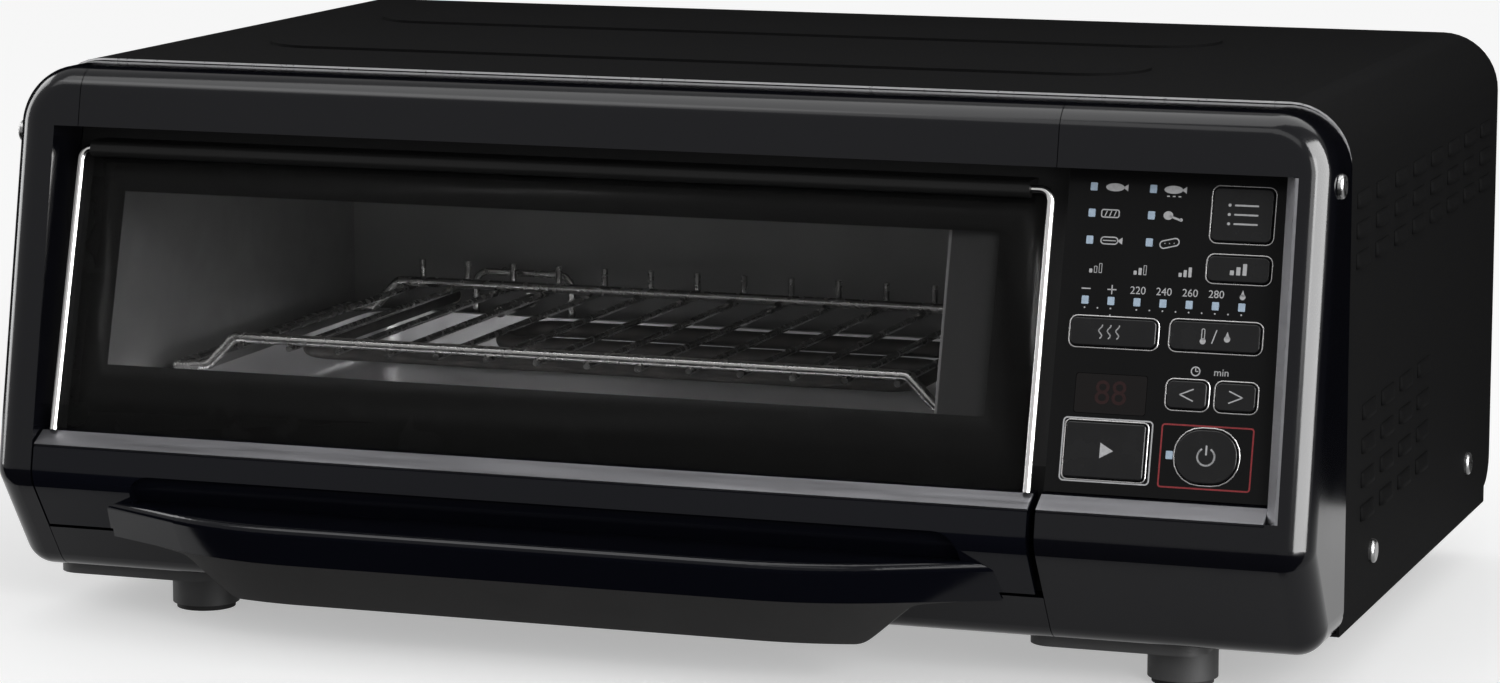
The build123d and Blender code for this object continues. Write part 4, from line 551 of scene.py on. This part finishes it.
for x, z, width, height, radius in keys.values():
    rounded(rims, width + rim_grow, height + rim_grow, radius + rim_round,
            on_slope(x, z, rim_proud), rim_line)
rim_piece = piece(rims, "key_rims", "body", rim_painted_highlight)
rim_wall = rim_piece.modifiers.new("moulding", "SOLIDIFY")
rim_wall.thickness = rim_depth
rim_wall.offset = -1
rim_edge = rim_piece.modifiers.new("soft_edge", "BEVEL")
rim_edge.width = 0.00018
rim_edge.segments = 2

# Printed figures and signs, group by group: the frame of the start key, the scale of seven lamps with
# the dots under it, and the three levels.
legend = bmesh.new()
rounded(legend, 0.0318, 0.0221, 0.0016, on_slope(0.1725, 0.0888, ink_proud), 0.0005)
scale_z, dots_z, low_dots_z = 0.1421, 0.1358, 0.1336
lamp_pitch = 0.00915
lamp_x = [0.1608 + lamp_pitch * i for i in range(7)]
for text, x in zip(("220", "240", "260", "280"), lamp_x[2:6]):
    words(legend, text, 0.0027, on_slope(x, scale_z, ink_proud))
plus_arm, dot = 0.0014, 0.0006
for x in lamp_x[:2]:
    stroke(legend, (-plus_arm, 0), (plus_arm, 0), thin, on_slope(x, scale_z, ink_proud))
stroke(legend, (0, -plus_arm), (0, plus_arm), thin, on_slope(lamp_x[1], scale_z, ink_proud))
for first_x, count in ((lamp_x[0], 3), (lamp_x[2], 9)):
    for i in range(count):
        disc(legend, dot, dot, on_slope(first_x + lamp_pitch / 2 * i, dots_z, ink_proud), 10)
for x in (lamp_x[1], lamp_x[5]):
    disc(legend, dot, dot, on_slope(x, low_dots_z, ink_proud), 10)
level_z, bar_pitch, bar_width = 0.1474, 0.0017, 0.0011
for count, x in enumerate((0.1636, 0.1793, 0.1951), 1):
    for i in range(3):
        bar = 0.0014 + 0.001 * i
        place = on_slope(x + (i - 1) * bar_pitch, level_z + bar / 2 * math.cos(lean), ink_proud)
        rounded(legend, bar_width, bar, 0.0002, place, 0.0 if i < count else 0.00022)
drop = on_slope(lamp_x[6], 0.1417, ink_proud)
disc(legend, 0.0020, 0.0020, drop, 20)
disc(legend, 0.0019, 0.0030, drop @ Matrix.Translation((0, 0.0009, 0)), 3)


def fish(shape, matrix, outline=False):
    """Small fish: a full body and a tail, or an outlined body with a line along its middle."""
    if outline:
        rounded(shape, 0.0064, 0.0028, 0.00139, matrix, thin)
        stroke(shape, (-0.0022, 0), (0.0022, 0), thin * 0.8, matrix)
    else:
        disc(shape, 0.0066, 0.0028, matrix)
    tail = matrix @ Matrix.Translation((0.0040, 0, 0)) @ Matrix.Rotation(math.radians(90), 4, "Z")
    disc(shape, 0.0028, 0.0024, tail, 3)


# Six dishes in two columns and three rows.
first, second = 0.1672, 0.1888
upper_row, middle_row, lower_row = 0.1761, 0.1673, 0.1583
fish(legend, on_slope(first + 0.001, upper_row, ink_proud))
fish(legend, on_slope(second, upper_row, ink_proud))
for i in range(3):
    stroke(legend, (-0.002 + 0.002 * i, -0.0023), (-0.0014 + 0.002 * i, -0.0023), thin,
           on_slope(second, upper_row, ink_proud))
rounded(legend, 0.0066, 0.0030, 0.0009, on_slope(first, middle_row, ink_proud), thin)
for i in range(3):
    stroke(legend, (-0.0018 + 0.0016 * i, -0.0008), (-0.0012 + 0.0016 * i, 0.0008), thin * 0.8,
           on_slope(first, middle_row, ink_proud))
disc(legend, 0.0034, 0.0030, on_slope(second - 0.0012, 0.1675, ink_proud))
stroke(legend, (0, 0), (0.0036, -0.0012), 0.0007, on_slope(second - 0.0006, middle_row, ink_proud))
disc(legend, 0.0012, 0.0012, on_slope(second + 0.0034, 0.1662, ink_proud), 14)
fish(legend, on_slope(first + 0.0004, lower_row, ink_proud), True)
yam = on_slope(second, lower_row, ink_proud) @ Matrix.Rotation(math.radians(14), 4, "Z")
rounded(legend, 0.0072, 0.0030, 0.00149, yam, thin)
for i in range(3):
    disc(legend, 0.0004, 0.0004, yam @ Matrix.Translation((-0.0016 + 0.0016 * i, 0.0003 - 0.0003 * i, 0)), 8)

# The timer's dial and unit.
dial = on_slope(0.2015, 0.1166, ink_proud)
rounded(legend, 0.0034, 0.0034, 0.00169, dial, thin)
stroke(legend, (0, 0), (0, 0.0010), thin * 0.8, dial)
stroke(legend, (0, 0), (0.0008, 0), thin * 0.8, dial)
words(legend, "min", 0.0026, on_slope(0.2105, 0.1165, ink_proud))
piece(legend, "panel_legend", "body", ink_grey)

red_frame = bmesh.new()
rounded(red_frame, 0.0323, 0.0219, 0.0012, on_slope(0.2074, 0.0885, ink_proud), 0.00055)
piece(red_frame, "power_frame", "body", ink_red)

display_ink = finish("display_ink", (0.016, 0.005, 0.005), 0.4, level=0.1)
vary_colour(display_ink, (0.014, 0.004, 0.004), (0.019, 0.006, 0.006), 900)
figures = bmesh.new()
words(figures, "88", 0.0085, on_slope(0.1725, 0.1075, ink_proud))
piece(figures, "display_figures", "body", display_ink)

# ---- prints on the keys ----
# Each key carries its own small sign, printed on the cap, so that it moves with the key.
key_proud, sign_gap = 0.0012, 0.00003
sign_line = 0.0006


def print_on(name, draw):
    """Sign on one key, drawn by a function that gets the bmesh and the place on the cap."""
    sign = bmesh.new()
    x, z = keys[name][:2]
    draw(sign, on_slope(x, z, key_proud + sign_gap))
    piece(sign, name.replace("button", "sign"), name, ink_grey)


def menu_sign(shape, place):
    """List of three lines with their bullets."""
    for row in (0.0032, 0.0, -0.0032):
        disc(shape, 0.0011, 0.0011, place @ Matrix.Translation((-0.0046, row, 0)), 12)
        stroke(shape, (-0.0026, row), (0.0052, row), sign_line, place)


def level_sign(shape, place):
    """Three rising bars on one base line."""
    base = -0.0020
    for i in range(3):
        bar = 0.0016 + 0.0012 * i
        middle = place @ Matrix.Translation(((i - 1) * 0.0022, bar / 2 + base, 0))
        rounded(shape, 0.0014, bar, 0.0002, middle)


def smoke_sign(shape, place):
    """Three wavy plumes."""
    pitch, swing, rise, points = 0.003, 0.0006, 0.0005, 10
    for i in range(3):
        line = [((i - 1.5) * pitch + swing * math.sin(step * 0.9), -0.0022 + rise * step)
                for step in range(points)]
        for start, end in zip(line, line[1:]):
            stroke(shape, start, end, thin, place)


def temperature_sign(shape, place):
    """Thermometer, a slash and a drop."""
    apart = 0.0042
    rounded(shape, 0.0013, 0.0040, 0.00064, place @ Matrix.Translation((-apart, 0.0007, 0)), thin * 0.7)
    disc(shape, 0.0021, 0.0021, place @ Matrix.Translation((-apart, -0.0017, 0)), 20)
    stroke(shape, (-0.0010, -0.0022), (0.0004, 0.0022), thin, place)
    disc(shape, 0.0022, 0.0022, place @ Matrix.Translation((apart, -0.0006, 0)), 20)
    disc(shape, 0.0021, 0.0032, place @ Matrix.Translation((apart, 0.0004, 0)), 3)


def down_sign(shape, place):
    """Arrow head to the left."""
    stroke(shape, (0.0022, 0.0020), (-0.0024, 0), thin, place)
    stroke(shape, (-0.0024, 0), (0.0022, -0.0020), thin, place)


def up_sign(shape, place):
    """Arrow head to the right."""
    stroke(shape, (-0.0022, 0.0020), (0.0024, 0), thin, place)
    stroke(shape, (0.0024, 0), (-0.0022, -0.0020), thin, place)


def start_sign(shape, place):
    """Triangle that points to the right."""
    disc(shape, 0.0062, 0.0062, place @ Matrix.Rotation(math.radians(-90), 4, "Z"), 3)


def power_sign(shape, place):
    """Open ring with a bar in its gap."""
    reach, first_turn, turn_step, arcs = 0.0030, 125, 14.5, 20
    turns = [math.radians(first_turn + step * turn_step) for step in range(arcs + 1)]
    ring = [(reach * math.cos(turn), reach * math.sin(turn)) for turn in turns]
    for start, end in zip(ring, ring[1:]):
        stroke(shape, start, end, sign_line, place)
    stroke(shape, (0, 0.0008), (0, 0.0036), sign_line, place)


for key_name, draw_sign in (("menu_button", menu_sign), ("level_button", level_sign),
                            ("smoke_button", smoke_sign), ("temperature_button", temperature_sign),
                            ("timer_down_button", down_sign), ("timer_up_button", up_sign),
                            ("start_button", start_sign), ("power_button", power_sign)):
    print_on(key_name, draw_sign)
